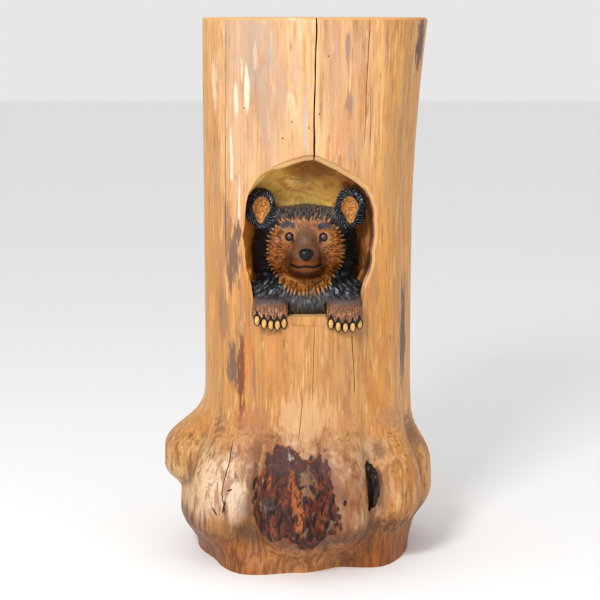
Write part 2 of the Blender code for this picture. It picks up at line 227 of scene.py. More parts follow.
def bark_patch(bearing, height):
    """How surely a place lies under the bark crust: over 0 inside, under 0 outside."""
    around = turned(bearing, BARK_MIDDLE[0]) / BARK_SIZE[0]
    up = (height - BARK_MIDDLE[1]) / BARK_SIZE[1]
    place = around_log(bearing, height, LOG_RADIUS)
    ragged = 0.3 * noise(place * (1, 1, 0.55), 0.036, 14) + 0.11 * noise(place, 0.009, 12)
    lean = around + 0.06 * up
    return 1 - (np.abs(lean) ** 3.4 + np.abs(up) ** 3.4) ** (1 / 3.4) + ragged


def growth(bearing, height):
    """The relief on top of the solid's shape, in metres."""
    place = around_log(bearing, height, LOG_RADIUS)
    ripples = 0.0011 * noise(place * (1, 1, 0.13), 0.034, 1)
    ripples = ripples + 0.0005 * noise(place * (1, 1, 0.06), 0.009, 2)
    burl = ease((BURL_HEIGHT - height) / 0.05) * ease(height / 0.05)
    lumps = 0.0024 * noise(place * (1, 1, 0.6), 0.042, 3) + 0.0011 * noise(place * (1, 1, 0.35), 0.013, 4)
    bent = height + 0.03 * noise(place, 0.05, 5) + 0.007 * noise(place, 0.018, 6)
    wrinkled = bump((height - 0.292) / 0.036) * ease(0.3 + 1.4 * noise(place, 0.045, 7))
    aside = ease(np.abs(turned(bearing, -2)) / 14)
    wrinkles = -0.0021 * wrinkled * np.abs(np.sin(bent / 0.005)) ** 3 * aside
    bark = ease(bark_patch(bearing, height) / 0.1)
    plates = 0.5 - np.abs(noise(place * (1, 1, 0.42), 0.013, 8))
    crust = 0.0055 * plates + 0.0022 * noise(place * (1, 1, 0.6), 0.0065, 9) + 0.0008
    return ripples + burl * lumps * (1 - bark) + wrinkles + bark * crust


# %% [markdown]
# ## Tools for the bench
#
# Most pieces start as a grid that is rolled into a bar, or as a ball. The grid's rows are then
# moved to their places at once with an array, which does what pulling each ring would do. The
# cuts are made as on the real log, with another shape held against it and taken away.

# %% Small helpers
def deselect():
    """Leaves edit mode and selects nothing, so that the next tool acts only on its own piece."""
    if bpy.context.mode != "OBJECT":
        bpy.ops.object.mode_set(mode="OBJECT")
    bpy.ops.object.select_all(action="DESELECT")


def picked(obj):
    """Makes one object the selected and active one."""
    deselect()
    obj.select_set(True)
    bpy.context.view_layer.objects.active = obj
    return obj


def places_of(obj):
    """Every vertex's place, as an array."""
    places = np.empty(len(obj.data.vertices) * 3, np.float32)
    obj.data.vertices.foreach_get("co", places)
    return places.reshape(-1, 3).astype(float)


def move_to(obj, places):
    """Moves every vertex to its new place."""
    obj.data.vertices.foreach_set("co", np.ascontiguousarray(places, np.float32).ravel())
    obj.data.update()


def applied(obj, kind, **settings):
    """Adds a modifier with its settings and applies it."""
    picked(obj)
    modifier = obj.modifiers.new(kind.title(), kind)
    for name, value in settings.items():
        setattr(modifier, name, value)
    bpy.ops.object.modifier_apply(modifier=modifier.name)
    return obj


def cut(obj, tool, operation="DIFFERENCE"):
    """Takes a tool's shape away from a piece, or joins it on, and clears the tool."""
    applied(obj, "BOOLEAN", operation=operation, object=tool, solver="MANIFOLD", material_mode="TRANSFER")
    bpy.data.objects.remove(tool)
    return obj


def outward(obj):
    """Closes the seams of a piece and points its faces outwards."""
    picked(obj)
    bpy.ops.object.mode_set(mode="EDIT")
    bpy.ops.mesh.select_all(action="SELECT")
    bpy.ops.mesh.remove_doubles(threshold=1e-6)
    bpy.ops.mesh.normals_make_consistent(inside=False)
    bpy.ops.object.mode_set(mode="OBJECT")
    return obj


def rolled(name, rings, material=None):
    """A grid rolled into a closed bar: each row of the grid becomes one ring of the bar."""
    rings = np.asarray(rings, float)
    rows, sides = rings.shape[:2]
    deselect()
    bpy.ops.mesh.primitive_grid_add(x_subdivisions=sides, y_subdivisions=rows - 1, size=1)
    bar = bpy.context.object
    bar.name = bar.data.name = name
    closed = np.concatenate([rings, rings[:, :1]], axis=1)
    move_to(bar, closed.reshape(-1, 3))
    outward(bar)
    bpy.ops.object.mode_set(mode="EDIT")
    bpy.ops.mesh.select_mode(type="EDGE")
    bpy.ops.mesh.select_all(action="DESELECT")
    bpy.ops.mesh.select_non_manifold()
    bpy.ops.mesh.edge_face_add()
    bpy.ops.mesh.select_all(action="DESELECT")
    bpy.ops.object.mode_set(mode="OBJECT")
    if material:
        bar.data.materials.append(material)
    return outward(bar)


def ball(name, middle, size, turn=None, segments=24, roundness=1.0, material=None):
    """A ball with three half sizes; a roundness under 1 fills out its corners."""
    deselect()
    bpy.ops.mesh.primitive_uv_sphere_add(segments=segments, ring_count=segments // 2 + 2, radius=1)
    obj = bpy.context.object
    obj.name = obj.data.name = name
    places = places_of(obj)
    places = np.sign(places) * np.abs(places) ** roundness * np.array(size)
    if turn is not None:
        places = places @ np.array(turn.to_3x3()).T
    move_to(obj, places + np.array(middle))
    if material:
        obj.data.materials.append(material)
    return obj


# %% [markdown]
# ## The log
#
# The trunk is one rolled grid. Its rows lie closer together on the burl, and its columns lie
# closer together at the front, where the carving is looked at.

# %% Roll the trunk
COLUMNS = 320
CROWDING = 0.42
BURL_ROW = 0.004
BURL_ROWS_TOP = 0.345
SHAFT_ROWS = 99
INSIDE_BOX = 0.0004


def carved_log(material):
    share = np.arange(COLUMNS) / COLUMNS * 2 * math.pi - math.pi
    bearings = np.degrees(share - CROWDING * np.sin(share))
    low = np.arange(0, BURL_ROWS_TOP, BURL_ROW)
    high = np.linspace(low[-1], LOG_HEIGHT - TOP_CHAMFER, SHAFT_ROWS)[1:]
    heights = np.concatenate([low, high])
    bearing, height = np.meshgrid(bearings, heights)
    radius = log_radius(bearing, height) + growth(bearing, height)
    rings = list(around_log(bearing, height, radius))
    top = radius[-1] - TOP_CHAMFER * (0.6 + 0.3 * np.sin(np.radians(bearings) * 9))
    rings.append(around_log(bearings, LOG_HEIGHT, top))
    (left, front, _), (right, back, _) = solid_box
    lowest = (left + INSIDE_BOX, front + INSIDE_BOX, 0)
    rings = np.clip(np.array(rings), lowest, (right - INSIDE_BOX, back - INSIDE_BOX, LOG_HEIGHT))
    return rolled("carved_log", rings, material)


# %% [markdown]
# ## The niche
#
# The carver opened the log with an uneven arch, bevelled its edge, and scooped the wood out
# behind the head to a bowl. We roll a tool of the same shape and take it away from the trunk.

# %% Scoop the niche
NICHE_MOUTH = [
    (-0.8, 0.0), (-0.83, 0.1), (-0.93, 0.24), (-0.985, 0.42), (-0.96, 0.62), (-0.86, 0.79),
    (-0.66, 0.9), (-0.3, 0.957), (0.07, 1.0), (0.32, 0.95), (0.63, 0.88), (0.88, 0.8),
    (1.02, 0.64), (1.03, 0.44), (0.95, 0.24), (0.8, 0.1), (0.76, 0.0),
]
NICHE_BEVEL = 0.0125
NICHE_HEART = (0, 0.16)
NICHE_STEPS = 150


def arch(points, around):
    """The arch's corners rounded off, and the same number of steps along it as asked."""
    line = np.array(points)
    for _ in range(2):
        left, right = line[:-1] * 0.75 + line[1:] * 0.25, line[:-1] * 0.25 + line[1:] * 0.75
        middle = np.stack([left, right], axis=1).reshape(-1, 2)
        line = np.concatenate([line[:1], middle, line[-1:]])
    line = line * (NICHE_HALF_WIDTH, NICHE_HEIGHT)
    walked = np.concatenate([[0], np.cumsum(np.hypot(*np.diff(line, axis=0).T))])
    steps = np.linspace(0, walked[-1], around)
    return np.stack([np.interp(steps, walked, line[:, 0]), np.interp(steps, walked, line[:, 1])], -1)


def niche_tool(material):
    outline = arch(NICHE_MOUTH, NICHE_STEPS)
    floor = np.linspace(outline[-1], outline[0], 32)[1:-1]
    outline = np.concatenate([outline, floor])
    upward = ease(outline[:, 1] / 0.05)
    bevel = NICHE_BEVEL * upward * (0.3 + 0.7 * ease((outline[:, 0] + 0.12) / 0.07))
    inward = (NICHE_HEART - outline) / np.linalg.norm(outline - NICHE_HEART, axis=1)[:, None]
    spots = np.concatenate([outline, outline[:, :1] * 0], axis=1)
    wobble = 0.0026 * (noise(spots, 0.034, 24) + 0.4 * noise(spots, 0.012, 25)) * upward
    outline = outline + inward * wobble[:, None]
    depths = np.concatenate([[-0.05, -0.006, -0.002], np.linspace(0.0025, 0.009, 4), [0.0115, 0.015],
                             NICHE_DEPTH * np.linspace(0.105, 1, 56) ** 0.9])
    rings = []
    for depth in depths:
        share = np.clip(depth / NICHE_DEPTH, 0, 0.9995)
        size = (1 - share ** 3.2) ** (1 / 2.6)
        inset = bevel * (ease(depth / 0.009) - 0.4 * ease((depth - 0.009) / 0.006))
        flat = outline + inward * inset[:, None]
        across, up = flat[:, 0] * size, flat[:, 1] * size
        x, z = NICHE_MIDDLE + across, SILL + up
        curve = LOG_RADIUS - np.sqrt(LOG_RADIUS ** 2 - np.clip(x, -0.2, 0.2) ** 2)
        y = FRONT + depth + curve * (1 - share) ** 0.8 * (depth > -0.02)
        place = np.stack([x, y, z], -1)
        scooped = ease((depth - 0.012) / 0.02) * upward
        lean = place + 0.02 * noise(place, 0.07, 23)[:, None]
        ripple = 0.01 * noise(lean * (0.8, 0.5, 1.5), 0.042, 21)
        ripple = scooped * (ripple + 0.003 * noise(lean * (1, 0.6, 1.4), 0.019, 22))
        place[:, 0] += ripple * inward[:, 0]
        place[:, 1] += ripple
        place[:, 2] += ripple * inward[:, 1]
        rings.append(place)
    return rolled("niche", rings, material)


# %% [markdown]
# ## Checks, cracks and holes
#
# A whole log always splits as it dries: one wide check runs from the top into the niche, and
# finer cracks run down the trunk. Each is cut with a thin three-sided blade that follows the
# surface. The slit of dead bark in the burl, the gouges and the beetle holes are cut as well.

# %% Blades that follow the surface
STANDS_OUT = 0.006


def blade(name, line, depth, material):
    """A thin wedge along a line of bearing, height and width, pushed into the log."""
    bearing, height, width = line.T
    surface = log_radius(bearing, height)
    half = np.degrees(width / 2 / surface)
    rings = np.stack([
        around_log(bearing - half, height, surface + STANDS_OUT),
        around_log(bearing + half, height, surface + STANDS_OUT),
        around_log(bearing + half * 0.8, height, surface - depth * 0.4),
        around_log(bearing, height, surface - depth),
        around_log(bearing - half * 0.8, height, surface - depth * 0.4),
    ], axis=1)
    return rolled(name, rings, material)


def wandering(start, end, width, wander, seed, steps=40):
    """A crack's line between two places, thin at its ends and a little crooked."""
    share = np.linspace(0, 1, steps)
    bearing = start[0] + (end[0] - start[0]) * share
    height = start[1] + (end[1] - start[1]) * share
    spots = np.stack([height, share * 0, share * 0], -1)
    bearing = bearing + wander * (noise(spots, 0.09, seed) + 0.5 * noise(spots, 0.03, seed + 50))
    taper = np.minimum(ease(share / 0.08), ease((1 - share) / 0.08)) if width < 0.003 else 1
    width = width * (0.35 + 0.65 * taper) * (1 + 0.2 * noise(spots, 0.02, seed))
    return np.stack([bearing, height, width], -1)


# Each crack: its two ends as bearing and height, its width, its depth, and how far it wanders
ABOVE_TOP = LOG_HEIGHT + 0.004
CRACKS = [
    ("check", (4.4, ABOVE_TOP), (3.5, 0.9), 0.0037, 0.045, 0.4),
    ("left_crack", (-48.5, ABOVE_TOP), (-50.0, 0.69), 0.0017, 0.012, 0.25),
    ("right_crack", (32.4, ABOVE_TOP), (31.0, 0.925), 0.0017, 0.012, 0.3),
    ("right_dashes", (34.1, 1.06), (34.9, 0.93), 0.0013, 0.006, 0.35),
    ("sill_crack", (3.6, 0.566), (2.9, 0.385), 0.0013, 0.012, 0.25),
    ("low_crack", (-2.6, 0.395), (-4.6, 0.3), 0.0014, 0.008, 0.45),
    ("right_low_crack", (24.6, 0.532), (26.3, 0.395), 0.0017, 0.01, 0.3),
    ("back_check", (172.0, ABOVE_TOP), (176.0, 0.46), 0.0032, 0.03, 0.6),
    ("side_crack", (112.0, ABOVE_TOP), (109.0, 0.72), 0.0016, 0.012, 0.4),
    ("far_crack", (-121.0, 1.1), (-118.0, 0.5), 0.0016, 0.012, 0.4),
    ("burl_crack", (-41.0, 0.29), (-38.3, 0.13), 0.0019, 0.01, 0.7),
]
# Each gouge: bearing, height, half width, half height, and its lean in degrees
GOUGES = [
    (-38.8, 0.15, 0.002, 0.017, 10), (-42.6, 0.138, 0.0018, 0.011, -38),
    (-37.2, 0.186, 0.0018, 0.006, 70), (15.8, 0.174, 0.0036, 0.007, 8), (-27.0, 0.2, 0.004, 0.016, 4),
]
HOLE_SIZE = (0.0016, 0.006, 0.0018)
# Each hole: bearing and height
BEETLE_HOLES = [(10.6, 1.121), (5.9, 1.001), (-8.2, 0.984), (-13.0, 0.95), (-36.5, 1.011), (0.7, 0.972),
                (63.0, 0.18), (140.0, 0.82), (-150.0, 0.94), (-97.0, 0.7)]
# The pocket: bearing, height, and half sizes
POCKET = (32.0, 0.19, 0.015, 0.034, 0.054)


def pocket_tool(material):
    """The slit of dead bark in the right of the burl, with ragged walls."""
    bearing, height, *size = POCKET
    turn = Matrix.Rotation(math.radians(bearing), 4, "Z")
    middle = around_log(bearing, height, log_radius(bearing, height))
    tool = ball("pocket", middle, size, turn, 64, 0.55, material)
    places = places_of(tool)
    ragged = 0.0034 * noise(places * (1, 1, 0.35), 0.013, 31)
    ragged = ragged + 0.0016 * noise(places * (1, 1, 0.5), 0.005, 32)
    away = (places - middle) / max(size)
    move_to(tool, places + away * ragged[:, None] * 3)
    return tool


def gouge_tools(material):
    for bearing, height, half_width, half_height, lean in GOUGES:
        turn = Matrix.Rotation(math.radians(bearing), 4, "Z")
        turn = turn @ Matrix.Rotation(math.radians(lean), 4, "Y")
        middle = around_log(bearing, height, log_radius(bearing, height) + 0.001)
        yield ball("gouge", middle, (half_width, 0.006, half_height), turn, 16, 1.0, material)
    for bearing, height in BEETLE_HOLES:
        middle = around_log(bearing, height, log_radius(bearing, height) + 0.001)
        yield ball("beetle_hole", middle, HOLE_SIZE, None, 10, 1.0, material)


def sill_step(depth, top, bottom, half_width, material):
    """A shallow flat under the middle of the sill, where the chest's edge was squared off."""
    across = np.array([-half_width * 0.88, half_width * 0.88, half_width, -half_width]) + NICHE_MIDDLE
    rings = []
    for y in (FRONT - 0.02, FRONT + depth):
        rings.append(np.stack([across, np.full(4, y), [bottom, bottom, top, top]], -1))
    return rolled("sill_step", rings, material)


# %% [markdown]
# ## The bear's body
#
# A carver blocks out big masses first: skull, cheeks, muzzle, chest, and two forearms laid on
# the sill. We do the same with balls, and let a Remesh melt them into one skin. Smoothing takes
# out the lumps where the balls met, and one subdivision gives the skin enough points for fur.

# %% Block out the masses
# Each mass, in ear spans: middle across, front setback from the muzzle's tip, height above the
# sill, and half sizes across, deep and up
SKULL = (0.0, 0.185, 0.545, 0.395, 0.33, 0.31)
CROWN = (0.0, 0.19, 0.725, 0.3, 0.26, 0.13)
CHEEKS = (-0.01, 0.2, 0.4, 0.425, 0.3, 0.29)
BROW = (0.0, 0.15, 0.655, 0.23, 0.2, 0.12)
BRIDGE = (0.0, 0.095, 0.575, 0.095, 0.15, 0.115)
MUZZLE = (0.0, 0.012, 0.474, 0.13, 0.215, 0.112)
CHIN = (0.0, 0.062, 0.384, 0.104, 0.19, 0.064)
NECK = (0.0, 0.21, 0.23, 0.44, 0.34, 0.25)
CHEST = (0.0, 0.115, 0.065, 0.33, 0.4, 0.17)
SHOULDERS = (0.01, 0.26, 0.15, 0.5, 0.3, 0.16)
EAR_PLACE = (0.372, 0.852)
EAR_SIZE = (0.128, 0.066, 0.164)
EAR_SETBACK = 0.26
EAR_HOLLOW = (0.071, 0.075, 0.11)
EAR_HOLLOW_SHIFT = (0.012, -0.02)
EAR_LEAN = math.radians(-5)
HOLLOW_TAPER = 0.42
PAW_PLACES = ((-0.287, 0.034), (0.31, 0.03))
PAW_SIZE = (0.15, 0.082, 0.116)
PAW_RELIEF = 0.022
BACK_OF_BEAR = -0.036

# Fullness that only the fine skin has, in metres: the middles of the form and of its twin across,
# then back from the front, up, and half sizes
SOFT_FORMS = (
    ((-0.092, 0.088), 0.086, 0.048, 0.034, 0.044, 0.026),
    ((MIDDLE,), 0.066, 0.022, 0.08, 0.044, 0.03),
    ((-0.055, 0.05), 0.07, 0.04, 0.04, 0.045, 0.028),
    ((MIDDLE,), 0.072, 0.096, 0.036, 0.043, 0.021),
    ((MIDDLE,), 0.079, 0.086, 0.028, 0.04, 0.012),
    ((-0.048, 0.04), 0.125, 0.197, 0.036, 0.045, 0.028),
    ((-0.06, 0.052), 0.11, 0.135, 0.044, 0.045, 0.055),
    ((-0.088, 0.08), 0.135, 0.12, 0.034, 0.05, 0.075),
)


def mass_at(mass):
    """A mass's middle and half sizes in metres."""
    across, setback, up, *half = mass
    size = [unit(value) for value in half]
    return Vector((MIDDLE + unit(across), MUZZLE_TIP + unit(setback) + size[1], SILL + unit(up))), size


def paw_middle(side):
    across, up = PAW_PLACES[side]
    x = MIDDLE + unit(across)
    return Vector((x, -math.sqrt(LOG_RADIUS ** 2 - x ** 2) - PAW_RELIEF + unit(0.06), SILL + unit(up)))


def ear_middle(side):
    x = MIDDLE + (-1, 1)[side] * unit(EAR_PLACE[0])
    return Vector((x, MUZZLE_TIP + unit(EAR_SETBACK), SILL + unit(EAR_PLACE[1])))


def limb_masses(side):
    """A forearm on the sill, and the paw hung over its edge."""
    paw = paw_middle(side)
    shoulder = Vector((paw.x, FRONT + unit(0.4), SILL + unit(0.13)))
    wrist = Vector((paw.x, paw.y + unit(0.03), SILL + unit(0.045)))
    for share in np.linspace(0, 1, 11):
        size = (unit(0.146), unit(0.11), unit(0.135 - 0.02 * share))
        yield ball("forearm", shoulder.lerp(wrist, share), size, roundness=0.72)
    yield ball("paw", paw, [unit(value) for value in PAW_SIZE], segments=32, roundness=0.68)


def ear_masses(side):
    """An ear's lobe and the root that ties it to the head."""
    sign = (-1, 1)[side]
    turn = Matrix.Rotation(sign * EAR_LEAN, 4, "Y")
    middle = ear_middle(side)
    yield ball("ear", middle, [unit(value) for value in EAR_SIZE], turn, 40, 0.9)
    root = middle + Vector((-sign * unit(0.085), unit(0.05), -unit(0.12)))
    yield ball("ear_root", root, (unit(0.125), unit(0.1), unit(0.13)), turn)


def body_masses():
    masses = (SKULL, CROWN, CHEEKS, BROW, BRIDGE, MUZZLE, CHIN, NECK, CHEST, SHOULDERS)
    for mass in masses:
        yield ball("mass", *mass_at(mass), segments=40)
    back = FRONT + NICHE_DEPTH + 0.012
    for mass in (SKULL, NECK, CHEST):
        middle, size = mass_at(mass)
        reach = (back - middle.y) / 2
        root = middle + Vector((0, reach, 0))
        yield ball("root", root, (size[0] * 0.8, reach * 1.3, size[2] * 0.8))
    for middles, setback, up, *size in SOFT_FORMS:
        for across in middles:
            yield ball("form", (across, FRONT + setback, SILL + up), size, segments=32)
    floor, size = mass_at(CHEST)
    size = (size[0] * 1.15, size[1] * 0.9, unit(0.1))
    yield ball("root", (floor.x, floor.y + size[1] * 0.1, SILL), size)
    for side in (0, 1):
        yield from limb_masses(side)
        yield from ear_masses(side)


def joined(name, pieces):
    """Several pieces made one object."""
    pieces = list(pieces)
    picked(pieces[0])
    for piece in pieces:
        piece.select_set(True)
    bpy.ops.object.join()
    pieces[0].name = pieces[0].data.name = name
    return pieces[0]


BLOCK_VOXEL = 0.0036
BLOCK_SMOOTHING = {"factor": 0.6, "iterations": 9}
SKIN_VOXEL = 0.00376
SKIN_SMOOTHING = {"factor": 0.5, "iterations": 3}


def bear_skin(material):
    body = joined("carved_bear", body_masses())
    applied(body, "REMESH", mode="VOXEL", voxel_size=BLOCK_VOXEL)
    applied(body, "SMOOTH", **BLOCK_SMOOTHING)
    for side in (0, 1):
        turn = Matrix.Rotation((-1, 1)[side] * EAR_LEAN, 4, "Y")
        across, up = (unit(value) for value in EAR_HOLLOW_SHIFT)
        place = ear_middle(side) + Vector(((1, -1)[side] * across, -unit(EAR_SIZE[1]) * 1.02, up))
        hollow = ball("ear_hollow", (0, 0, 0), [unit(value) for value in EAR_HOLLOW], None, 40)
        shape = places_of(hollow)
        shape[:, 0] *= 1 - HOLLOW_TAPER * ease(0.3 - shape[:, 2] / unit(EAR_HOLLOW[2]))
        move_to(hollow, shape @ np.array(turn.to_3x3()).T + np.array(place))
        cut(body, hollow)
    applied(body, "REMESH", mode="VOXEL", voxel_size=SKIN_VOXEL)
    applied(body, "SMOOTH", **SKIN_SMOOTHING)
    applied(body, "SUBSURF", levels=1, render_levels=1)
    deselect()
    bpy.ops.mesh.primitive_cube_add(size=1, location=(0, BACK_OF_BEAR + 0.25, SILL), scale=(1, 0.5, 1))
    cut(body, bpy.context.object)
    body.data.materials.clear()
    body.data.materials.append(material)
    return outward(body)


# %% [markdown]
# ## Combing the fur
#
# Fur is cut with quick strokes that follow how the hair lies. We give every point of the skin a
# comb: how far it lies across the strokes, and how far along them. The strokes fan out from the
# middle of the face, hang down on the paws, and turn round the rims of the ears. Noise that is
# narrow across the comb and long along it gives grooves, both in the mesh and in the paint.

# %% Places on the face
FACE_MIDDLE = (MIDDLE, SILL + unit(0.488))
FACE_SIZE = (unit(0.332), unit(0.325))
TEETH = 56
TOOTH_LENGTH = 0.0085
EYES = ((-0.039, 0.7325), (0.0345, 0.7315))
EYE_RADIUS = 0.0076
NOSE = (-0.003, 0.6985)
NOSE_SIZE = (0.0166, 0.0134, 0.0134)
MOUTH = (-0.0035, 0.6722)
MOUTH_HALF_WIDTH = 0.0345
CLAWS = (
    ((-0.1075, 0.562), (-0.0925, 0.5555), (-0.0783, 0.5525), (-0.064, 0.5525), (-0.0503, 0.5555)),
    ((0.05, 0.5545), (0.0655, 0.549), (0.081, 0.547), (0.0965, 0.5475), (0.1115, 0.552)),
)
CLAW_SIZE = (0.0056, 0.008, 0.0108)
CLAW_BED_SETBACK = 0.0032
FAR_FROM_MOUTH = 50.0
CLAW_BED = 0.0024


def in_ear(places, side):
    """Where a place lies on an ear, as shares of the ear's half sizes."""
    middle = ear_middle(side)
    lean = -(-1, 1)[side] * EAR_LEAN
    x, z = places[:, 0] - middle.x, places[:, 2] - middle.z
    across = x * math.cos(lean) + z * math.sin(lean)
    up = z * math.cos(lean) - x * math.sin(lean)
    return across, up


def tooth_edge(around, reach):
    """How far inside the jagged edge of the face a place lies, in metres."""
    upper = ease((np.abs(around) - 1.9) / 0.5)
    lower = ease((1.0 - np.abs(around)) / 0.8)
    drooped = around + 0.2 * np.sin(around) * (reach / FACE_SIZE[0] - 1) * (1 - 0.7 * lower)
    spots = np.stack([drooped * 6, reach * 0, reach * 0], -1)
    phase = drooped * TEETH / (2 * math.pi) + 0.9 * np.sin(drooped) * lower + 0.3 * noise(spots, 0.9, 41)
    saw = np.clip(1 - 1.75 * np.abs(2 * (phase % 1) - 1), 0, 1)
    length = TOOTH_LENGTH * (1 + 0.5 * noise(spots, 0.8, 42)) * (1 + 0.95 * lower - 0.7 * upper)
    peak = 0.007 * bump((np.abs(around) - math.pi) / 0.16)
    edge = FACE_SIZE[0] - 0.005 + 0.006 * lower - peak - 0.004 * upper
    return edge + length * (saw - 0.4) - reach, saw


def mouth_height(x):
    """The height of the mouth line: lifted in the middle, and turned up at its corners."""
    share = (x - MOUTH[0]) / MOUTH_HALF_WIDTH
    return MOUTH[1] + 0.0012 * np.cos(math.pi * share * 2) - 0.0004 * np.abs(share) ** 5


# %% [markdown]
# ## Carving the fine forms
#
# Each feature is a small rise or fall of the skin along its normal: the eye sockets with their
# lids, the mouth, the face's jagged edge a little proud of the black fur, and the grooves. What
# each point belongs to is kept as attributes, so that paint and carving agree exactly.

# %% Carve the skin
def keep(obj, **marks):
    """Stores marks on the vertices, each under a name that materials can read."""
    for name, values in marks.items():
        kind, field = ("FLOAT_VECTOR", "vector") if np.ndim(values) == 2 else ("FLOAT", "value")
        attribute = obj.data.attributes.new(name, kind, "POINT")
        attribute.data.foreach_set(field, np.ravel(values).astype(np.float32))


def normals_of(obj):
    normals = np.empty(len(obj.data.vertices) * 3, np.float32)
    obj.data.vertex_normals.foreach_get("vector", normals)
    return normals.reshape(-1, 3).astype(float)


def carve_skin(body):
    places, normals = places_of(body), normals_of(body)
    x, y, z = places.T
    side, up = x - FACE_MIDDLE[0], z - FACE_MIDDLE[1]
    square = 2 + 0.7 * ease(up / 0.05)
    high = up * FACE_SIZE[0] / FACE_SIZE[1]
    reach = (np.abs(side) ** square + np.abs(high) ** square) ** (1 / square)
    around = np.arctan2(side, -up)
    facing = ease((0.35 - normals[:, 1]) / 0.25)
    face, saw = tooth_edge(around, reach)
    face = face - 0.05 * (1 - facing) - 0.1 * ease((y + 0.105) / 0.02)

    rim, dish, ear_turn, ear_out = (np.zeros(len(x)) for _ in range(4))
    for which in (0, 1):
        across, height = in_ear(places, which)
        outer = np.hypot(across / unit(EAR_SIZE[0]), height / unit(EAR_SIZE[2]))
        ear_out = np.where(outer < 1.3, outer * unit(EAR_SIZE[0]), ear_out)
        shift = (1, -1)[which] * unit(EAR_HOLLOW_SHIFT[0])
        risen = (height - unit(EAR_HOLLOW_SHIFT[1])) / unit(EAR_HOLLOW[2])
        narrowed = 1 - HOLLOW_TAPER * ease(0.3 - risen)
        inner = np.hypot((across - shift) / unit(EAR_HOLLOW[0]) / narrowed, risen)
        near = ease((1.16 - outer) / 0.12) * ease((ear_middle(which).y + 0.035 - y) / 0.01)
        dish = np.maximum(dish, near * ease((1.06 - inner) / 0.1))
        rim = np.maximum(rim, near)
        ear_turn = np.where(near > 0, np.arctan2(across, height) * 0.034, ear_turn)
    rim = rim * (1 - dish)

    paw, claw, paw_side = np.zeros(len(x)), np.full(len(x), -1.0), np.zeros(len(x))
    for which in (0, 1):
        middle = paw_middle(which)
        front = ease((-0.196 - y) / 0.012) * ease((0.044 - np.abs(x - middle.x)) / 0.003)
        paw = np.maximum(paw, front * ease((middle.z + 0.034 - z) / 0.01))
        paw_side = np.where(front > 0, np.abs(x - middle.x) * 1000, paw_side)
        for cx, cz in CLAWS[which]:
            apart = 1 - np.hypot((x - cx) / 0.0088, (z - cz - 0.001) / 0.015)
            below = 1 - np.abs(x - cx) / 0.009 - 40 * np.maximum(z - cz, 0)
            claw = np.maximum(claw, np.where(paw > 0.3, np.maximum(apart, below), -1.0))

    fan = np.stack([around * 0.085, np.zeros(len(x)), np.hypot(reach, y + 0.17) + 3.0], -1)
    hang = np.stack([x + 7.0, np.zeros(len(x)), z], -1)
    ring = np.stack([ear_turn + 0.9 * (normals[:, 0] * 0.01), np.zeros(len(x)), y + 11.0], -1)
    comb = np.where(paw[:, None] > 0.5, hang, np.where((rim + dish)[:, None] > 0.5, ring, fan))

    rise = np.zeros(len(x))
    smooth_muzzle = ease((0.046 - np.hypot(side / 0.95, (z - 0.693) / 1.05)) / 0.01) * (y < -0.14)
    chest = ease((0.632 - z) / 0.02) * (1 - paw)
    inside = ease(face / 0.003 + 0.5)
    fur = (1 - inside) * (1 - rim) * (1 - dish) * (1 - paw)
    wide = noise(comb * (1, 1, 0.24), 0.0046, 51) + 0.5 * noise(comb * (1, 1, 0.22), 0.0032, 52)
    curled = comb + 0.0022 * noise(places, 0.007, 56)[:, None]
    fine = 0.8 * noise(curled * (1, 1, 0.5), 0.0032, 53) + 0.4 * noise(curled * (1, 1, 0.5), 0.0055, 55)
    rise += fur * (0.0011 + 0.0006 * chest) * wide
    rise += inside * (1 - smooth_muzzle) * 0.0007 * fine
    rise += 0.0013 * inside * (1 - 0.9 * ease((up - 0.03) / 0.03))
    hatch = np.sin(2 * math.pi * (ear_turn / 0.0068 + (ear_out + 0.6 * y) / 0.0085))
    rise += 0.0014 * rim * hatch
    rise += paw * (1 - ease(claw / 0.1 + 0.5)) * 0.0004 * noise(places, 0.0042, 54)
    rise -= 0.0012 * paw * ease(claw / 0.12 + 0.5)
    for ex, ez in EYES:
        away = np.hypot(x - ex, (z - ez) * 1.05)
        front = y < -0.12
        rise += front * (-0.003 * bump(away / 0.0115, 1.6) + 0.0019 * bump((away - 0.0118) / 0.003))
        rise += front * 0.0012 * bump(np.hypot((x - ex) / 0.016, (z - ez - 0.024) / 0.0075))
    line = z - mouth_height(x)
    wide_mouth = ease((MOUTH_HALF_WIDTH - np.abs(x - MOUTH[0])) / 0.004) * (y < -0.13)
    rise += wide_mouth * (-0.003 * bump(line / 0.0024) + 0.0009 * bump((np.abs(line) - 0.0055) / 0.0035))
    below_nose = ease((NOSE[1] - 0.008 - z) / 0.003) * ease((z - MOUTH[1]) / 0.003)
    rise -= 0.0012 * bump((x - NOSE[0]) / 0.0014) * below_nose * (y < -0.15)

    stays = ease((BACK_OF_BEAR - 0.001 - y) / 0.004)
    move_to(body, places + normals * (rise * stays)[:, None])
    mouth_line = np.where(wide_mouth > 0.02, line * 1000, FAR_FROM_MOUTH)
    keep(body, comb=comb, face=face * 1000, ear_rim=rim, ear_dish=dish, gap=saw, hatch=hatch, paw=paw,
         paw_side=paw_side, claw_paint=claw, mouth_line=mouth_line,
         groove=-wide * fur - fine * inside * (1 - smooth_muzzle))
    print("carved the skin,", len(body.data.polygons), "faces")
    return body


# %% [markdown]
# ## Eyes, nose and claws
#
# These are crisp little forms on the soft skin, so each is its own closed ball, pushed partly
# into the place where a level line from the front meets the carving.

# %% Eyes, nose and claws
def front_of(body, x, z):
    """Where a level line from the front meets the carving."""
    bpy.context.view_layer.update()
    return body.ray_cast(Vector((x, FRONT * 2, z)), Vector((0, 1, 0)))[1]


def eye(body, place, material):
    middle = front_of(body, *place) + Vector((0, 0.0022, 0))
    return ball("eye", middle, (EYE_RADIUS, 0.0072, EYE_RADIUS * 1.06), None, 32, 1.0, material)


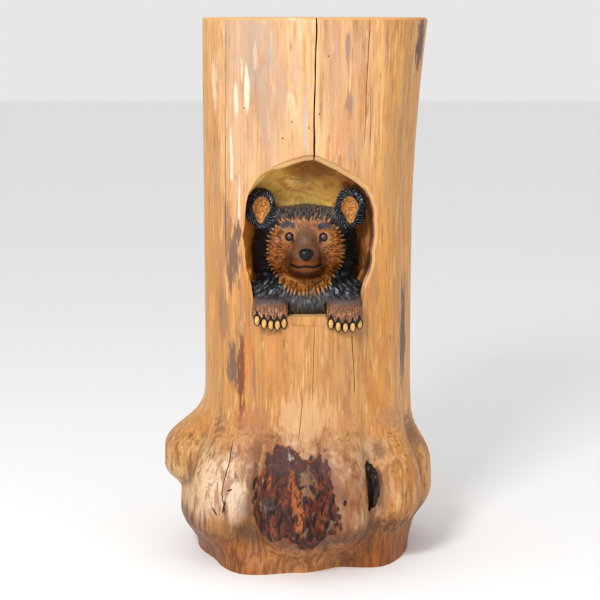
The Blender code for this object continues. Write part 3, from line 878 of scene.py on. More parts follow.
def nose(body, material):
    """A wide pad that narrows downwards, with two nostrils pressed into its lower half."""
    middle = front_of(body, *NOSE) + Vector((0, 0.004, 0))
    pad = ball("nose", middle, NOSE_SIZE, None, 64, 0.86, material)
    places = places_of(pad)
    local = places - np.array(middle)
    down = np.clip(-local[:, 2] / NOSE_SIZE[2], -1, 1)
    local[:, 0] *= 1 - 0.3 * ease((down + 0.5) / 1.5)
    for sign in (-1, 1):
        away = np.hypot(local[:, 0] - sign * 0.0062, (local[:, 2] + 0.0038) * 1.25)
        local[:, 1] += 0.0034 * bump(away / 0.003) * (local[:, 1] < 0)
    local[:, 1] += 0.0014 * bump(local[:, 0] / 0.0013) * ease(down / 0.6) * (local[:, 1] < 0)
    move_to(pad, local + np.array(middle))
    return pad


def claw(body, place, material, extra=0.0, back=0.0):
    """A claw that hangs over the paw's edge; with some extra all round it is its black bed."""
    x, z = place
    surface = front_of(body, x, z + 0.006)
    size = np.array(CLAW_SIZE) + (extra, 0.0, extra)
    tool = ball("claw", (0, 0, 0), size, None, 24, 0.88, material)
    local = places_of(tool)
    down = ease(-local[:, 2] / size[2])
    local[:, 0] *= 1 - 0.26 * down
    local[:, 1] += 0.0036 * down ** 2 + back
    move_to(tool, local + np.array((x, surface.y + 0.0012, z)))
    return tool


# %% [markdown]
# ## A bench for finishes
#
# A finish is a recipe of nodes. These few helpers add a node, link what feeds it, and give back
# its result, so that a recipe reads like a list of steps. Colours are given as red, green and
# blue from 0 to 1, as light, not as screen values.

# %% Helpers for recipes
class Value:
    """A node's result, which can be reckoned with like a number."""

    def __init__(self, make, socket):
        self.make, self.socket = make, socket

    def __add__(self, other):
        return self.make.math("ADD", self, other)

    def __sub__(self, other):
        return self.make.math("SUBTRACT", self, other)

    def __rsub__(self, other):
        return self.make.math("SUBTRACT", other, self)

    def __mul__(self, other):
        return self.make.math("MULTIPLY", self, other)

    def __truediv__(self, other):
        return self.make.math("DIVIDE", self, other)

    def __pow__(self, other):
        return self.make.math("POWER", self, other)

    def __abs__(self):
        return self.make.math("ABSOLUTE", self)

    def step(self, low, high, least=0.0, most=1.0):
        """A smooth step: least below low, most above high."""
        values = {"Value": self, "From Min": low, "From Max": high, "To Min": least, "To Max": most}
        return self.make.add("MapRange", values, interpolation_type="SMOOTHSTEP")

    def ramp(self, low, high, below, above):
        """Two colours with a smooth step between them."""
        return self.make.mix(self.step(low, high), below, above)


def titled(name):
    """A node's label from a plain name, such as Inverse Size from inverse_size."""
    return name.replace("_", " ").title()


class Recipe:
    """Adds nodes to one material or one group."""

    def __init__(self, tree):
        self.tree = tree

    def feed(self, socket, value):
        if isinstance(value, Value):
            self.tree.links.new(value.socket, socket)
        else:
            is_colour = socket.type == "RGBA" and len(value) == 3
            socket.default_value = (*value, 1) if is_colour else value

    def add(self, kind, inputs, result=0, **settings):
        """Adds a node with its settings, feeds its inputs and gives one of its results."""
        node = self.tree.nodes.new("ShaderNode" + kind)
        for name, value in settings.items():
            setattr(node, name, value)
        for name, value in inputs.items():
            self.feed(node.inputs[name], value)
        return Value(self, node.outputs[result])

    def math(self, operation, *values, clamp=False):
        return self.add("Math", dict(enumerate(values)), operation=operation, use_clamp=clamp)

    def stretch(self, place, share, shift=(0, 0, 0)):
        """Places with their height cut to a share, so that what is drawn on them runs up the log."""
        return self.add("Mapping", {"Vector": place, "Scale": (1, 1, share), "Location": shift})

    def grain(self, place, share, *noise, shift=(0, 0, 0)):
        return self.noise(self.stretch(place, share, shift), *noise)

    def noise(self, place, scale, detail=2.0, roughness=0.5, bent=0.0):
        return self.add("TexNoise", {"Vector": place, "Scale": scale, "Detail": detail,
                                     "Roughness": roughness, "Distortion": bent})

    def mix(self, factor, under, over, how="MIX"):
        values = {0: factor, 6: under, 7: over}
        return self.add("Mix", values, 2, data_type="RGBA", blend_type=how)

    def layers(self, colour, *masks_and_colours):
        """Lays colours over one another in turn, each through its own mask."""
        for mask, over in masks_and_colours:
            colour = self.mix(mask, colour, over)
        return colour

    def flat(self, across, up):
        """A place on a sheet from its two distances."""
        return self.add("CombineXYZ", {0: across, 2: up})

    def place(self):
        """The object's own coordinates, whole and as x, y and z."""
        place = self.add("TexCoord", {}, 3)
        return place, [self.add("SeparateXYZ", {0: place}, axis) for axis in (0, 1, 2)]

    def coat(self, shader, colour, roughness):
        self.feed(shader["Base Color"], colour)
        self.feed(shader["Roughness"], roughness)

    def bump(self, shader, height, strength, distance):
        normal = self.add("Bump", {"Height": height, "Strength": strength, "Distance": distance})
        self.feed(shader["Normal"], normal)

    def mark(self, name, result=2):
        """A value kept on the mesh: 2 gives a number, 1 a vector."""
        return self.add("Attribute", {}, result, attribute_name=name)

    def group(self, tree, **inputs):
        return self.add("Group", {titled(name): value for name, value in inputs.items()}, node_tree=tree)


def new_group(name, result, **inputs):
    """A node group with inputs and one result; gives the group, a recipe and the sockets."""
    tree = bpy.data.node_groups.new(name, "ShaderNodeTree")
    for label, value in inputs.items():
        kind = "NodeSocketVector" if isinstance(value, tuple) else "NodeSocketFloat"
        socket = tree.interface.new_socket(titled(label), in_out="INPUT", socket_type=kind)
        socket.default_value = value
    tree.interface.new_socket(result, in_out="OUTPUT", socket_type="NodeSocketFloat")
    make, start, end = Recipe(tree), tree.nodes.new("NodeGroupInput"), tree.nodes.new("NodeGroupOutput")
    return tree, make, [Value(make, socket) for socket in start.outputs[:len(inputs)]], end.inputs[result]


def new_finish(name, **constants):
    """A material with its shader's constant values set; gives the material, a recipe and the shader."""
    material = bpy.data.materials.new(name)
    material.use_nodes = True
    shader = material.node_tree.nodes["Principled BSDF"]
    for label, value in constants.items():
        shader.inputs[titled(label)].default_value = value
    return material, Recipe(material.node_tree), shader.inputs


# %% [markdown]
# ## Effects that several finishes share
#
# A patch is a soft-edged ellipse with a frayed edge, for a stain, a knot or a dab of paint. The
# same group places all of them, each with its own middle and size.

# %% A frayed patch, and streaks along the grain
def patch_group():
    tree, make, (place, middle, inverse_size, soft, fray), mask = new_group(
        "frayed_patch", "Mask", place=(0, 0, 0), middle=(0, 0, 0), inverse_size=(1, 1, 1),
        soft=0.3, fray=0.0)
    offset = make.add("VectorMath", {0: place, 1: middle}, operation="SUBTRACT")
    shares = make.add("VectorMath", {0: offset, 1: inverse_size}, operation="MULTIPLY")
    length = make.add("VectorMath", {0: shares}, 1, operation="LENGTH")
    make.feed(mask, (length + fray).step(1.0 - soft, soft + 1.0, 1.0, 0.0))
    return tree


def streak_group():
    """Streaks along the grain: noise stretched up the log, cut to the share that shows."""
    tree, make, (place, scale, lowest, highest), mask = new_group(
        "grain_streaks", "Mask", place=(0, 0, 0), scale=30.0, lowest=0.5, highest=0.6)
    make.feed(mask, make.noise(place, scale, 3.0, 0.55, 0.25).step(lowest, highest))
    return tree


frayed_patch = patch_group()
grain_streaks = streak_group()


def patcher(make, place, fray):
    """Gives a brush that lays patches on a sheet, all with the same fray at their edges."""
    def patch(across, up, half_width, half_height, soft, strength=1.0, ragged=1.0):
        edge = fray if ragged == 1 else fray * ragged
        mask = make.group(frayed_patch, place=place, middle=(across, 0, up), soft=soft, fray=edge,
                          inverse_size=(1 / half_width, 0, 1 / half_height))
        return mask if strength == 1 else mask * strength

    return patch


def streaks(make, place, scale, lowest, highest, strength=1.0):
    mask = make.group(grain_streaks, place=place, scale=scale, lowest=lowest, highest=highest)
    return mask if strength == 1 else mask * strength


# %% [markdown]
# ## Varnished pine
#
# Peeled pine isn't one colour. Under the varnish there is honey sapwood, remains of the inner
# bark in grey and pink, pale scars, orange resin, and on this log a crust of bark and dark
# stains. We lay them on as a painter would: broad washes first, then streaks along the grain,
# then the single marks, each at its bearing and height.

# %% The log's finish
def on_skin(bearing):
    """The distance round the log of a bearing, measured from the front."""
    return math.radians(bearing) * LOG_RADIUS


# Bearing, height, half width and half height in metres, colour, strength and softness
STAINS = [
    (-42, 0.95, 0.036, 0.17, (0.54, 0.36, 0.25), 0.42, 0.7),
    (18.5, 0.19, 0.026, 0.072, (0.15, 0.032, 0.012), 0.38, 0.8),
    (-28, 1.115, 0.026, 0.058, (0.28, 0.2, 0.16), 0.8, 0.5),
    (-26, 1.12, 0.009, 0.034, (0.6, 0.25, 0.08), 0.85, 0.4),
    (-29.5, 1.118, 0.005, 0.028, (0.68, 0.52, 0.38), 0.75, 0.4),
    (-20, 1.0, 0.03, 0.15, (0.41, 0.285, 0.2), 0.5, 0.7),
    (-25, 1.055, 0.016, 0.12, (0.46, 0.29, 0.185), 0.6, 0.6),
    (-13, 1.06, 0.006, 0.12, (0.5, 0.3, 0.18), 0.6, 0.5),
    (-5.5, 1.11, 0.005, 0.08, (0.52, 0.35, 0.24), 0.6, 0.5),
    (9, 1.06, 0.006, 0.11, (0.62, 0.36, 0.17), 0.55, 0.5),
    (17, 1.09, 0.013, 0.1, (0.56, 0.31, 0.17), 0.55, 0.6),
    (26, 1.02, 0.008, 0.14, (0.6, 0.34, 0.16), 0.5, 0.55),
    (-57, 1.13, 0.01, 0.07, (0.46, 0.26, 0.14), 0.6, 0.5),
    (15.8, 0.176, 0.0075, 0.015, (0.2, 0.08, 0.035), 0.85, 0.6),
    (-33, 1.15, 0.06, 0.09, (0.5, 0.36, 0.26), 0.5, 0.6),
    (-35, 1.05, 0.006, 0.042, (0.86, 0.68, 0.5), 0.85, 0.35),
    (-41.5, 1.02, 0.004, 0.036, (0.84, 0.66, 0.48), 0.75, 0.35),
    (-38, 1.085, 0.003, 0.03, (0.84, 0.66, 0.48), 0.75, 0.35),
    (-45, 0.9, 0.004, 0.05, (0.84, 0.68, 0.52), 0.7, 0.35),
    (-40, 0.8, 0.003, 0.06, (0.8, 0.66, 0.54), 0.7, 0.35),
    (-54, 0.64, 0.01, 0.05, (0.4, 0.19, 0.08), 0.7, 0.5),
    (58, 0.78, 0.01, 0.05, (0.72, 0.42, 0.17), 0.6, 0.5),
    (-60, 1.06, 0.012, 0.05, (0.82, 0.64, 0.48), 0.55, 0.45),
    (-1.2, 0.99, 0.0045, 0.075, (0.45, 0.39, 0.35), 0.7, 0.4),
    (13, 1.12, 0.01, 0.1, (0.52, 0.31, 0.2), 0.45, 0.6),
    (20.5, 1.14, 0.006, 0.03, (0.24, 0.17, 0.15), 0.7, 0.5),
    (21.5, 1.02, 0.007, 0.03, (0.26, 0.16, 0.12), 0.65, 0.5),
    (19, 0.96, 0.016, 0.045, (0.6, 0.27, 0.14), 0.4, 0.6),
    (76, 1.15, 0.022, 0.055, (0.1, 0.035, 0.025), 0.95, 0.25),
    (66, 1.01, 0.012, 0.02, (0.52, 0.25, 0.09), 0.5, 0.6),
    (-44, 0.69, 0.016, 0.06, (0.155, 0.085, 0.06), 0.92, 0.55),
    (-40.5, 0.74, 0.005, 0.03, (0.13, 0.065, 0.04), 0.9, 0.5),
    (-47, 0.65, 0.006, 0.03, (0.2, 0.085, 0.04), 0.85, 0.5),
    (-48, 0.76, 0.01, 0.045, (0.3, 0.15, 0.08), 0.75, 0.55),
    (-52, 0.56, 0.016, 0.055, (0.25, 0.125, 0.07), 0.65, 0.6),
    (-45, 0.44, 0.017, 0.045, (0.15, 0.085, 0.05), 0.92, 0.45),
    (-39, 0.43, 0.009, 0.085, (0.17, 0.042, 0.014), 0.95, 0.4),
    (-34.5, 0.47, 0.01, 0.055, (0.55, 0.18, 0.04), 0.7, 0.5),
    (-31, 0.44, 0.006, 0.05, (0.25, 0.12, 0.08), 0.75, 0.5),
    (-60, 0.86, 0.008, 0.07, (0.42, 0.25, 0.16), 0.6, 0.5),
    (40, 0.64, 0.008, 0.06, (0.4, 0.19, 0.08), 0.55, 0.5),
    (48, 0.88, 0.01, 0.11, (0.48, 0.27, 0.14), 0.5, 0.55),
    (-21, 0.495, 0.013, 0.05, (0.6, 0.24, 0.07), 0.6, 0.5),
    (-30, 0.33, 0.045, 0.03, (0.36, 0.13, 0.06), 0.55, 0.6),
    (70, 0.5, 0.018, 0.105, (0.085, 0.035, 0.025), 0.92, 0.3),
    (52, 0.33, 0.045, 0.022, (0.4, 0.2, 0.1), 0.5, 0.6),
    (22, 0.335, 0.045, 0.018, (0.52, 0.24, 0.1), 0.5, 0.6),
    (-2, 0.345, 0.055, 0.055, (0.66, 0.39, 0.19), 0.55, 0.6),
    (35.6, 0.19, 0.005, 0.046, (0.1, 0.038, 0.018), 0.92, 0.45),
    (37, 0.16, 0.007, 0.03, (0.26, 0.115, 0.05), 0.7, 0.6),
    (-27.3, 0.205, 0.0065, 0.04, (0.045, 0.026, 0.022), 0.95, 0.4),
    (-30.5, 0.15, 0.014, 0.022, (0.3, 0.27, 0.25), 0.6, 0.6),
    (-41, 0.102, 0.018, 0.02, (0.36, 0.14, 0.02), 0.55, 1.0),
    (-26, 0.13, 0.01, 0.036, (0.46, 0.21, 0.04), 0.8, 0.5),
    (36.5, 0.27, 0.022, 0.026, (0.54, 0.34, 0.18), 0.55, 1.0),
    (10.5, 0.21, 0.009, 0.05, (0.3, 0.13, 0.065), 0.75, 0.55),
    (110, 0.62, 0.02, 0.11, (0.3, 0.15, 0.08), 0.6, 0.5),
    (150, 0.98, 0.03, 0.14, (0.42, 0.31, 0.23), 0.6, 0.6),
    (-160, 0.76, 0.022, 0.12, (0.4, 0.2, 0.09), 0.6, 0.55),
    (-120, 0.98, 0.014, 0.06, (0.86, 0.68, 0.5), 0.65, 0.4),
    (175, 0.4, 0.035, 0.08, (0.25, 0.12, 0.06), 0.6, 0.5),
]
# The same for the dabs of colour on the bark, with one softness for all
BARK_DABS = [
    (-6.6, 0.222, 0.0055, 0.022, (0.26, 0.06, 0.012), 0.95),
    (-5, 0.19, 0.007, 0.026, (0.33, 0.085, 0.018), 1.0),
    (-3.2, 0.15, 0.0065, 0.034, (0.36, 0.095, 0.02), 1.0),
    (0.5, 0.214, 0.016, 0.03, (0.32, 0.18, 0.09), 0.5),
    (-7.7, 0.27, 0.0055, 0.0065, (0.42, 0.38, 0.33), 0.8),
    (-17.5, 0.215, 0.005, 0.016, (0.34, 0.08, 0.018), 0.75),
    (6, 0.13, 0.004, 0.022, (0.28, 0.055, 0.01), 0.75),
    (-16, 0.165, 0.016, 0.018, (0.04, 0.038, 0.036), 0.7),
]


def pine_finish():
    finish, make, shader = new_finish("varnished_pine", coat_roughness=0.18)
    make.feed(shader["Specular IOR Level"], 0.3)
    place, (x, y, z) = make.place()
    along = make.stretch(place, 0.085)
    bearing = make.math("ARCTAN2", x, y * -1.0)
    ragged = make.grain(place, 0.15, 105.0, 5.0, 0.72)
    fray = make.math("MULTIPLY_ADD", ragged, 4.4, -2.2)
    patch = patcher(make, make.flat(bearing * LOG_RADIUS, z), fray)

    honey = make.noise(along, 11.0, 2.0).ramp(0.35, 0.66, (0.66, 0.35, 0.125), (0.78, 0.48, 0.225))
    blond = make.noise(along, 15.0, 3.0).ramp(0.35, 0.62, (0.72, 0.44, 0.22), (0.84, 0.56, 0.31))
    honey = make.mix(z.step(0.62, 1.02), honey, blond)
    colour = make.mix(streaks(make, along, 24.0, 0.48, 0.7, 0.6), honey, (0.58, 0.32, 0.165))
    tissue = make.stretch(place, 0.13, (3, 1, 0))
    zones = make.grain(place, 0.3, 9.0, 2.0, shift=(2, 9, 1)).step(0.42, 0.6, 0.25, 1.0)
    grey = streaks(make, tissue, 52.0, 0.49, 0.6)
    grey_zone = patch(on_skin(-32), 1.1, 0.062, 0.155, 0.45, ragged=0.7)
    cambium = make.grain(place, 0.07, 40.0, 5.0, 0.65, shift=(4, 4, 0))
    greyed = cambium.ramp(0.38, 0.58, (0.4, 0.275, 0.215), (0.62, 0.38, 0.235))
    fine = make.grain(place, 0.035, 240.0, 3.0, 0.65)
    blotch = make.grain(place, 0.35, 38.0, 4.0, 0.6, shift=(5, 5, 5))
    colour = make.layers(
        colour,
        (grey * zones * 0.8, (0.5, 0.33, 0.235)),
        (streaks(make, make.stretch(place, 0.1, (7, 2, 0)), 74.0, 0.56, 0.66, 0.62),
         (0.58, 0.25, 0.075)),
        (streaks(make, make.stretch(place, 0.15, (1, 8, 0)), 88.0, 0.59, 0.66, 0.62), (0.9, 0.68, 0.46)),
        (streaks(make, make.stretch(place, 0.17, (5, 3, 2)), 120.0, 0.57, 0.66, 0.55),
         (0.44, 0.21, 0.085)),
        (grey_zone * cambium.step(0.62, 0.5, 0.1, 0.95), greyed),
        (fine.step(0.38, 0.68, 0.0, 0.5), (0.4, 0.19, 0.065)),
        (blotch.step(0.66, 0.74, 0.0, 0.65), (0.23, 0.1, 0.05)),
    )

    low = z.step(0.335, 0.255)
    swirl = make.grain(place, 0.4, 30.0, 4.0, 0.62, 0.6, shift=(2, 2, 2))
    burl = swirl.ramp(0.36, 0.62, (0.6, 0.4, 0.25), (0.52, 0.26, 0.1))
    pale = patch(on_skin(-55), 0.165, 0.115, 0.1, 0.3, 0.85, ragged=0.45)
    thin = make.grain(place, 0.16, 90.0, 4.0, 0.65, 0.3, shift=(4, 0, 0))
    patches = make.grain(place, 0.7, 14.0, 3.0, 0.6, shift=(6, 6, 6))
    ochre = patch(on_skin(-24), 0.125, 0.038, 0.06, 0.35, 0.9, ragged=0.7)
    burl = make.layers(
        burl,
        (pale, (0.74, 0.57, 0.42)),
        (thin.step(0.49, 0.6, 0.0, 0.78), (0.33, 0.145, 0.06)),
        (thin.step(0.42, 0.32, 0.0, 0.65), (0.8, 0.63, 0.48)),
        (patches.step(0.5, 0.64, 0.0, 0.65),
         thin.ramp(0.4, 0.6, (0.5, 0.25, 0.1), (0.27, 0.11, 0.045))),
        (ochre, (0.48, 0.21, 0.035)),
    )
    colour = make.mix(low, colour, burl)
    # The sawn foot is orange-brown wood, painted darker still as painted shade, where the light falls off
    # towards the bottom.
    foot = z.step(0.09, 0.06)
    foot_wood = thin.ramp(0.38, 0.62, (0.62, 0.285, 0.095), (0.3, 0.115, 0.032))
    wings = abs(bearing).step(math.radians(14), math.radians(34))
    dark_foot = thin.ramp(0.38, 0.62, (0.38, 0.142, 0.03), (0.19, 0.06, 0.012))
    foot_wood = make.mix(wings, foot_wood, dark_foot)
    # Painted shade under the burl's lumps, and a band of painted shadow where the burl tucks in above the
    # foot.
    shade = z.step(0.15, 0.085, 0.0, 0.85)
    under_burl_shadow = z.step(0.125, 0.1) * z.step(0.066, 0.088)
    colour = make.layers(
        colour,
        (shade, thin.ramp(0.4, 0.6, (0.34, 0.15, 0.05), (0.17, 0.065, 0.022))),
        (foot, foot_wood),
        (under_burl_shadow * (swirl.step(0.38, 0.58, 0.3, 1.0) * thin.step(0.4, 0.52, 0.25, 0.95)),
         (0.11, 0.042, 0.015)),
    )
    worm = make.grain(place, 0.75, 26.0, 4.0, 0.62, 1.4, shift=(8, 1, 4))
    worm = abs(worm - 0.5).step(0.016, 0.003)
    worm = worm * (z.step(0.37, 0.3) * swirl.step(0.42, 0.56))
    colour = make.mix(worm * 0.75, colour, (0.14, 0.055, 0.025))

    # Multiplied over the wood: painted light that makes the log darker towards the foot and lighter
    # towards the top, and painted light that makes the right side lighter than the left; the burl is
    # darkened, the pale lump kept pale, and the sides made warmer.
    tone_and_painted_light = z.ramp(0.55, 1.0, (0.76, 0.62, 0.42), (0.95, 0.85, 0.76))
    sideways = abs(bearing).step(math.radians(28), math.radians(70))
    tone_and_painted_light = make.layers(
        tone_and_painted_light,
        (low, (0.84, 0.76, 0.68)),
        (pale, (0.94, 0.95, 0.98)),
        (sideways, (0.84, 0.68, 0.38)),
        (bearing.step(math.radians(24), math.radians(58)), (0.98, 0.76, 0.38)),
    )
    colour = make.mix(1.0, colour, tone_and_painted_light, "MULTIPLY")
    for spot, height, half_width, half_height, stain, strength, soft in STAINS:
        mask = patch(on_skin(spot), height, half_width, half_height, soft * 0.6, strength)
        colour = make.mix(mask, colour, stain)

    # Painted shade: the wood is darkened in the burl's creases and in the small hollows of its relief.
    crease = make.mark("crease")
    relief = make.mark("relief")
    colour = make.layers(
        colour,
        (crease.step(0.0006, 0.005, 0.0, 0.9) * thin.step(0.36, 0.54, 0.45, 1.0), (0.13, 0.055, 0.025)),
        (relief.step(-0.0004, -0.0018, 0.0, 0.7), (0.17, 0.068, 0.028)),
    )

    bark = make.mark("bark") + fray * 0.085
    crust_noise = make.grain(place, 0.45, 85.0, 5.0, 0.68, 0.8, shift=(9, 9, 9))
    crust = crust_noise.ramp(0.42, 0.55, (0.007, 0.004, 0.004), (0.095, 0.018, 0.007))
    ash = make.grain(place, 0.55, 48.0, 4.0, 0.6, 0.5, shift=(6, 3, 1))
    crust = make.layers(
        crust,
        (crust_noise.step(0.56, 0.68), (0.185, 0.046, 0.014)),
        (z.step(0.21, 0.25, 0.0, 0.55), (0.085, 0.036, 0.034)),
        (ash.step(0.6, 0.66, 0.0, 0.8), (0.21, 0.12, 0.07)),
        (ash.step(0.4, 0.35, 0.0, 0.8), (0.23, 0.045, 0.01)),
    )
    for spot, height, half_width, half_height, dab, strength in BARK_DABS:
        mask = patch(on_skin(spot), height, half_width, half_height, 0.2, strength, ragged=0.6)
        crust = make.mix(mask * crust_noise.step(0.41, 0.53, 0.05, 1.0), crust, dab)
    crusted = bark.step(-0.02, 0.05)
    halo = bark.step(-0.3, 0.02) * swirl.step(0.36, 0.6, 0.35, 1.0)
    rim = z.step(LOG_HEIGHT - 0.0055, LOG_HEIGHT - 0.001)
    colour = make.layers(
        colour,
        (halo * 0.8, (0.2, 0.068, 0.025)),
        (crusted, crust),
        (rim, (0.76, 0.35, 0.11)),
    )
    make.coat(shader, colour, ragged.step(0.3, 0.7, 0.42, 0.56) + crusted * 0.14)
    make.feed(shader["Coat Weight"], z.step(0.27, 0.36, 0.06, 0.15) * (1.0 - crusted))
    make.bump(shader, fine * 0.5 + crust_noise * crusted * 5.0 + thin * low * 1.3, 0.55, 0.001)
    return finish


# %% [markdown]
# ## The scooped wood
#
# Inside the niche the tool cut through the growth rings, so they show as nested curves. They are
# rings round the middle of the trunk, bent a little by noise, as in the real tree.

# %% Finishes of the niche, the sawn ends and the cracks
def ring_group():
    tree, make, (place, spacing, wander), rings = new_group(
        "growth_rings", "Rings", place=(0, 0, 0), spacing=0.006, wander=0.02)
    bent = make.grain(place, 0.45, 13.0, 3.0, 0.5, 0.3)
    flat = make.add("VectorMath", {0: place, 1: (1, 1, 0)}, operation="MULTIPLY")
    radius = make.add("VectorMath", {0: flat}, 1, operation="LENGTH")
    radius = make.math("MULTIPLY_ADD", bent, wander, radius)
    wave = make.math("SINE", radius / spacing * (2 * math.pi))
    make.feed(rings, make.math("MULTIPLY_ADD", wave, 0.5, 0.5))
    return tree


growth_rings = ring_group()


def niche_finish():
    finish, make, shader = new_finish("scooped_pine", coat_weight=0.25, coat_roughness=0.22)
    place, (x, y, z) = make.place()
    rings = make.group(growth_rings, place=place, spacing=0.0075, wander=0.06)
    swirl = make.grain(place, 0.8, 17.0, 4.0, 0.6, 1.2)
    colour = swirl.ramp(0.35, 0.62, (1.0, 0.66, 0.155), (0.98, 0.52, 0.1))
    # Flame figure in the grain, which also stands in for painted shade and painted highlights on the
    # tool's facets.
    flame_grain_and_facet_shade = make.grain(place, 1.9, 17.0, 5.0, 0.55, 0.9, shift=(2, 4, 6))
    fray = make.math("MULTIPLY_ADD", make.noise(place, 24.0, 3.0, 0.6), 1.2, -0.6)
    patch = patcher(make, make.flat(x, z), fray)
    # The right wall is reddish cut wood, painted darker as painted shade.
    right = x.step(0.052, 0.088)
    streak = make.grain(place, 0.12, 60.0, 3.0, 0.6)
    shaded_right_wall = streak.ramp(0.4, 0.6, (0.62, 0.215, 0.066), (0.25, 0.062, 0.016))
    left = x.step(-0.086, -0.112) * z.step(0.86, 0.76)
    colour = make.layers(
        colour,
        (flame_grain_and_facet_shade.step(0.5, 0.62, 0.0, 0.75), (0.58, 0.225, 0.035)),
        (flame_grain_and_facet_shade.step(0.46, 0.38, 0.0, 0.6), (1.0, 0.74, 0.26)),
        (rings ** 3.0 * 0.22, (0.44, 0.16, 0.03)),
        # Painted shadow under the top of the niche.
        (patch(0.036, 0.895, 0.09, 0.052, 0.55, 0.92), (0.22, 0.07, 0.011)),
        (right * 0.88, shaded_right_wall),
        (left * 0.85, (0.86, 0.26, 0.038)),
    )
    depth = make.mark("niche_depth")
    inset = make.math("MULTIPLY_ADD", swirl - 0.5, 6.0, make.mark("niche_inset"))
    # A painted shadow line where the bevel meets the wall.
    rim_shadow_line = depth.step(0.004, 0.0054) * inset.step(18.0, 13.0)
    rim_shadow_line = rim_shadow_line * (x.step(-0.005, 0.02) * z.step(0.6, 0.66))
    lip = make.math("MAXIMUM", y.step(-0.183, -0.196), depth.step(0.0052, 0.0038))
    sill = z.step(SILL + 0.004, SILL + 0.001) * y.step(-0.12, -0.19)
    colour = make.layers(
        colour,
        (rim_shadow_line * 0.88, (0.075, 0.022, 0.008)),
        (lip * z.step(0.6, 0.66) * 0.8, (0.66, 0.37, 0.145)),
        (sill, (0.8, 0.46, 0.17)),
    )
    make.coat(shader, colour, swirl.step(0.3, 0.7, 0.38, 0.5))
    make.bump(shader, rings + swirl, 0.35, 0.0008)
    return finish


def end_finish():
    """Sawn end grain: rings, fine rays and saw marks."""
    finish, make, shader = new_finish("sawn_end", coat_weight=0.15, coat_roughness=0.3)
    place, _ = make.place()
    rings = make.group(growth_rings, place=place, spacing=0.0042, wander=0.012)
    rays = make.noise(place, 55.0, 4.0, 0.7)
    colour = make.mix(rings ** 1.5, (0.72, 0.45, 0.2), (0.46, 0.22, 0.075))
    colour = make.mix(rays.step(0.45, 0.7, 0.0, 0.5), colour, (0.56, 0.33, 0.15))
    marks = make.noise(make.add("Mapping", {"Vector": place, "Scale": (0.12, 1, 1)}), 140.0, 2.0, 0.6)
    make.coat(shader, colour, rays.step(0.3, 0.7, 0.45, 0.62))
    make.bump(shader, marks + rings, 0.4, 0.001)
    return finish


def crack_finish():
    """The dark bark in the pocket, and painted shade inside the cracks, gouges and holes."""
    finish, make, shader = new_finish("bark_and_crack_shade")
    place, _ = make.place()
    clot = make.grain(place, 0.5, 120.0, 4.0, 0.7, 0.5)
    colour = clot.ramp(0.4, 0.58, (0.012, 0.008, 0.006), (0.06, 0.028, 0.015))
    colour = make.mix(clot.step(0.64, 0.7, 0.0, 0.8), colour, (0.45, 0.32, 0.18))
    make.coat(shader, colour, clot.step(0.3, 0.7, 0.55, 0.8))
    make.bump(shader, clot, 0.9, 0.003)
    return finish
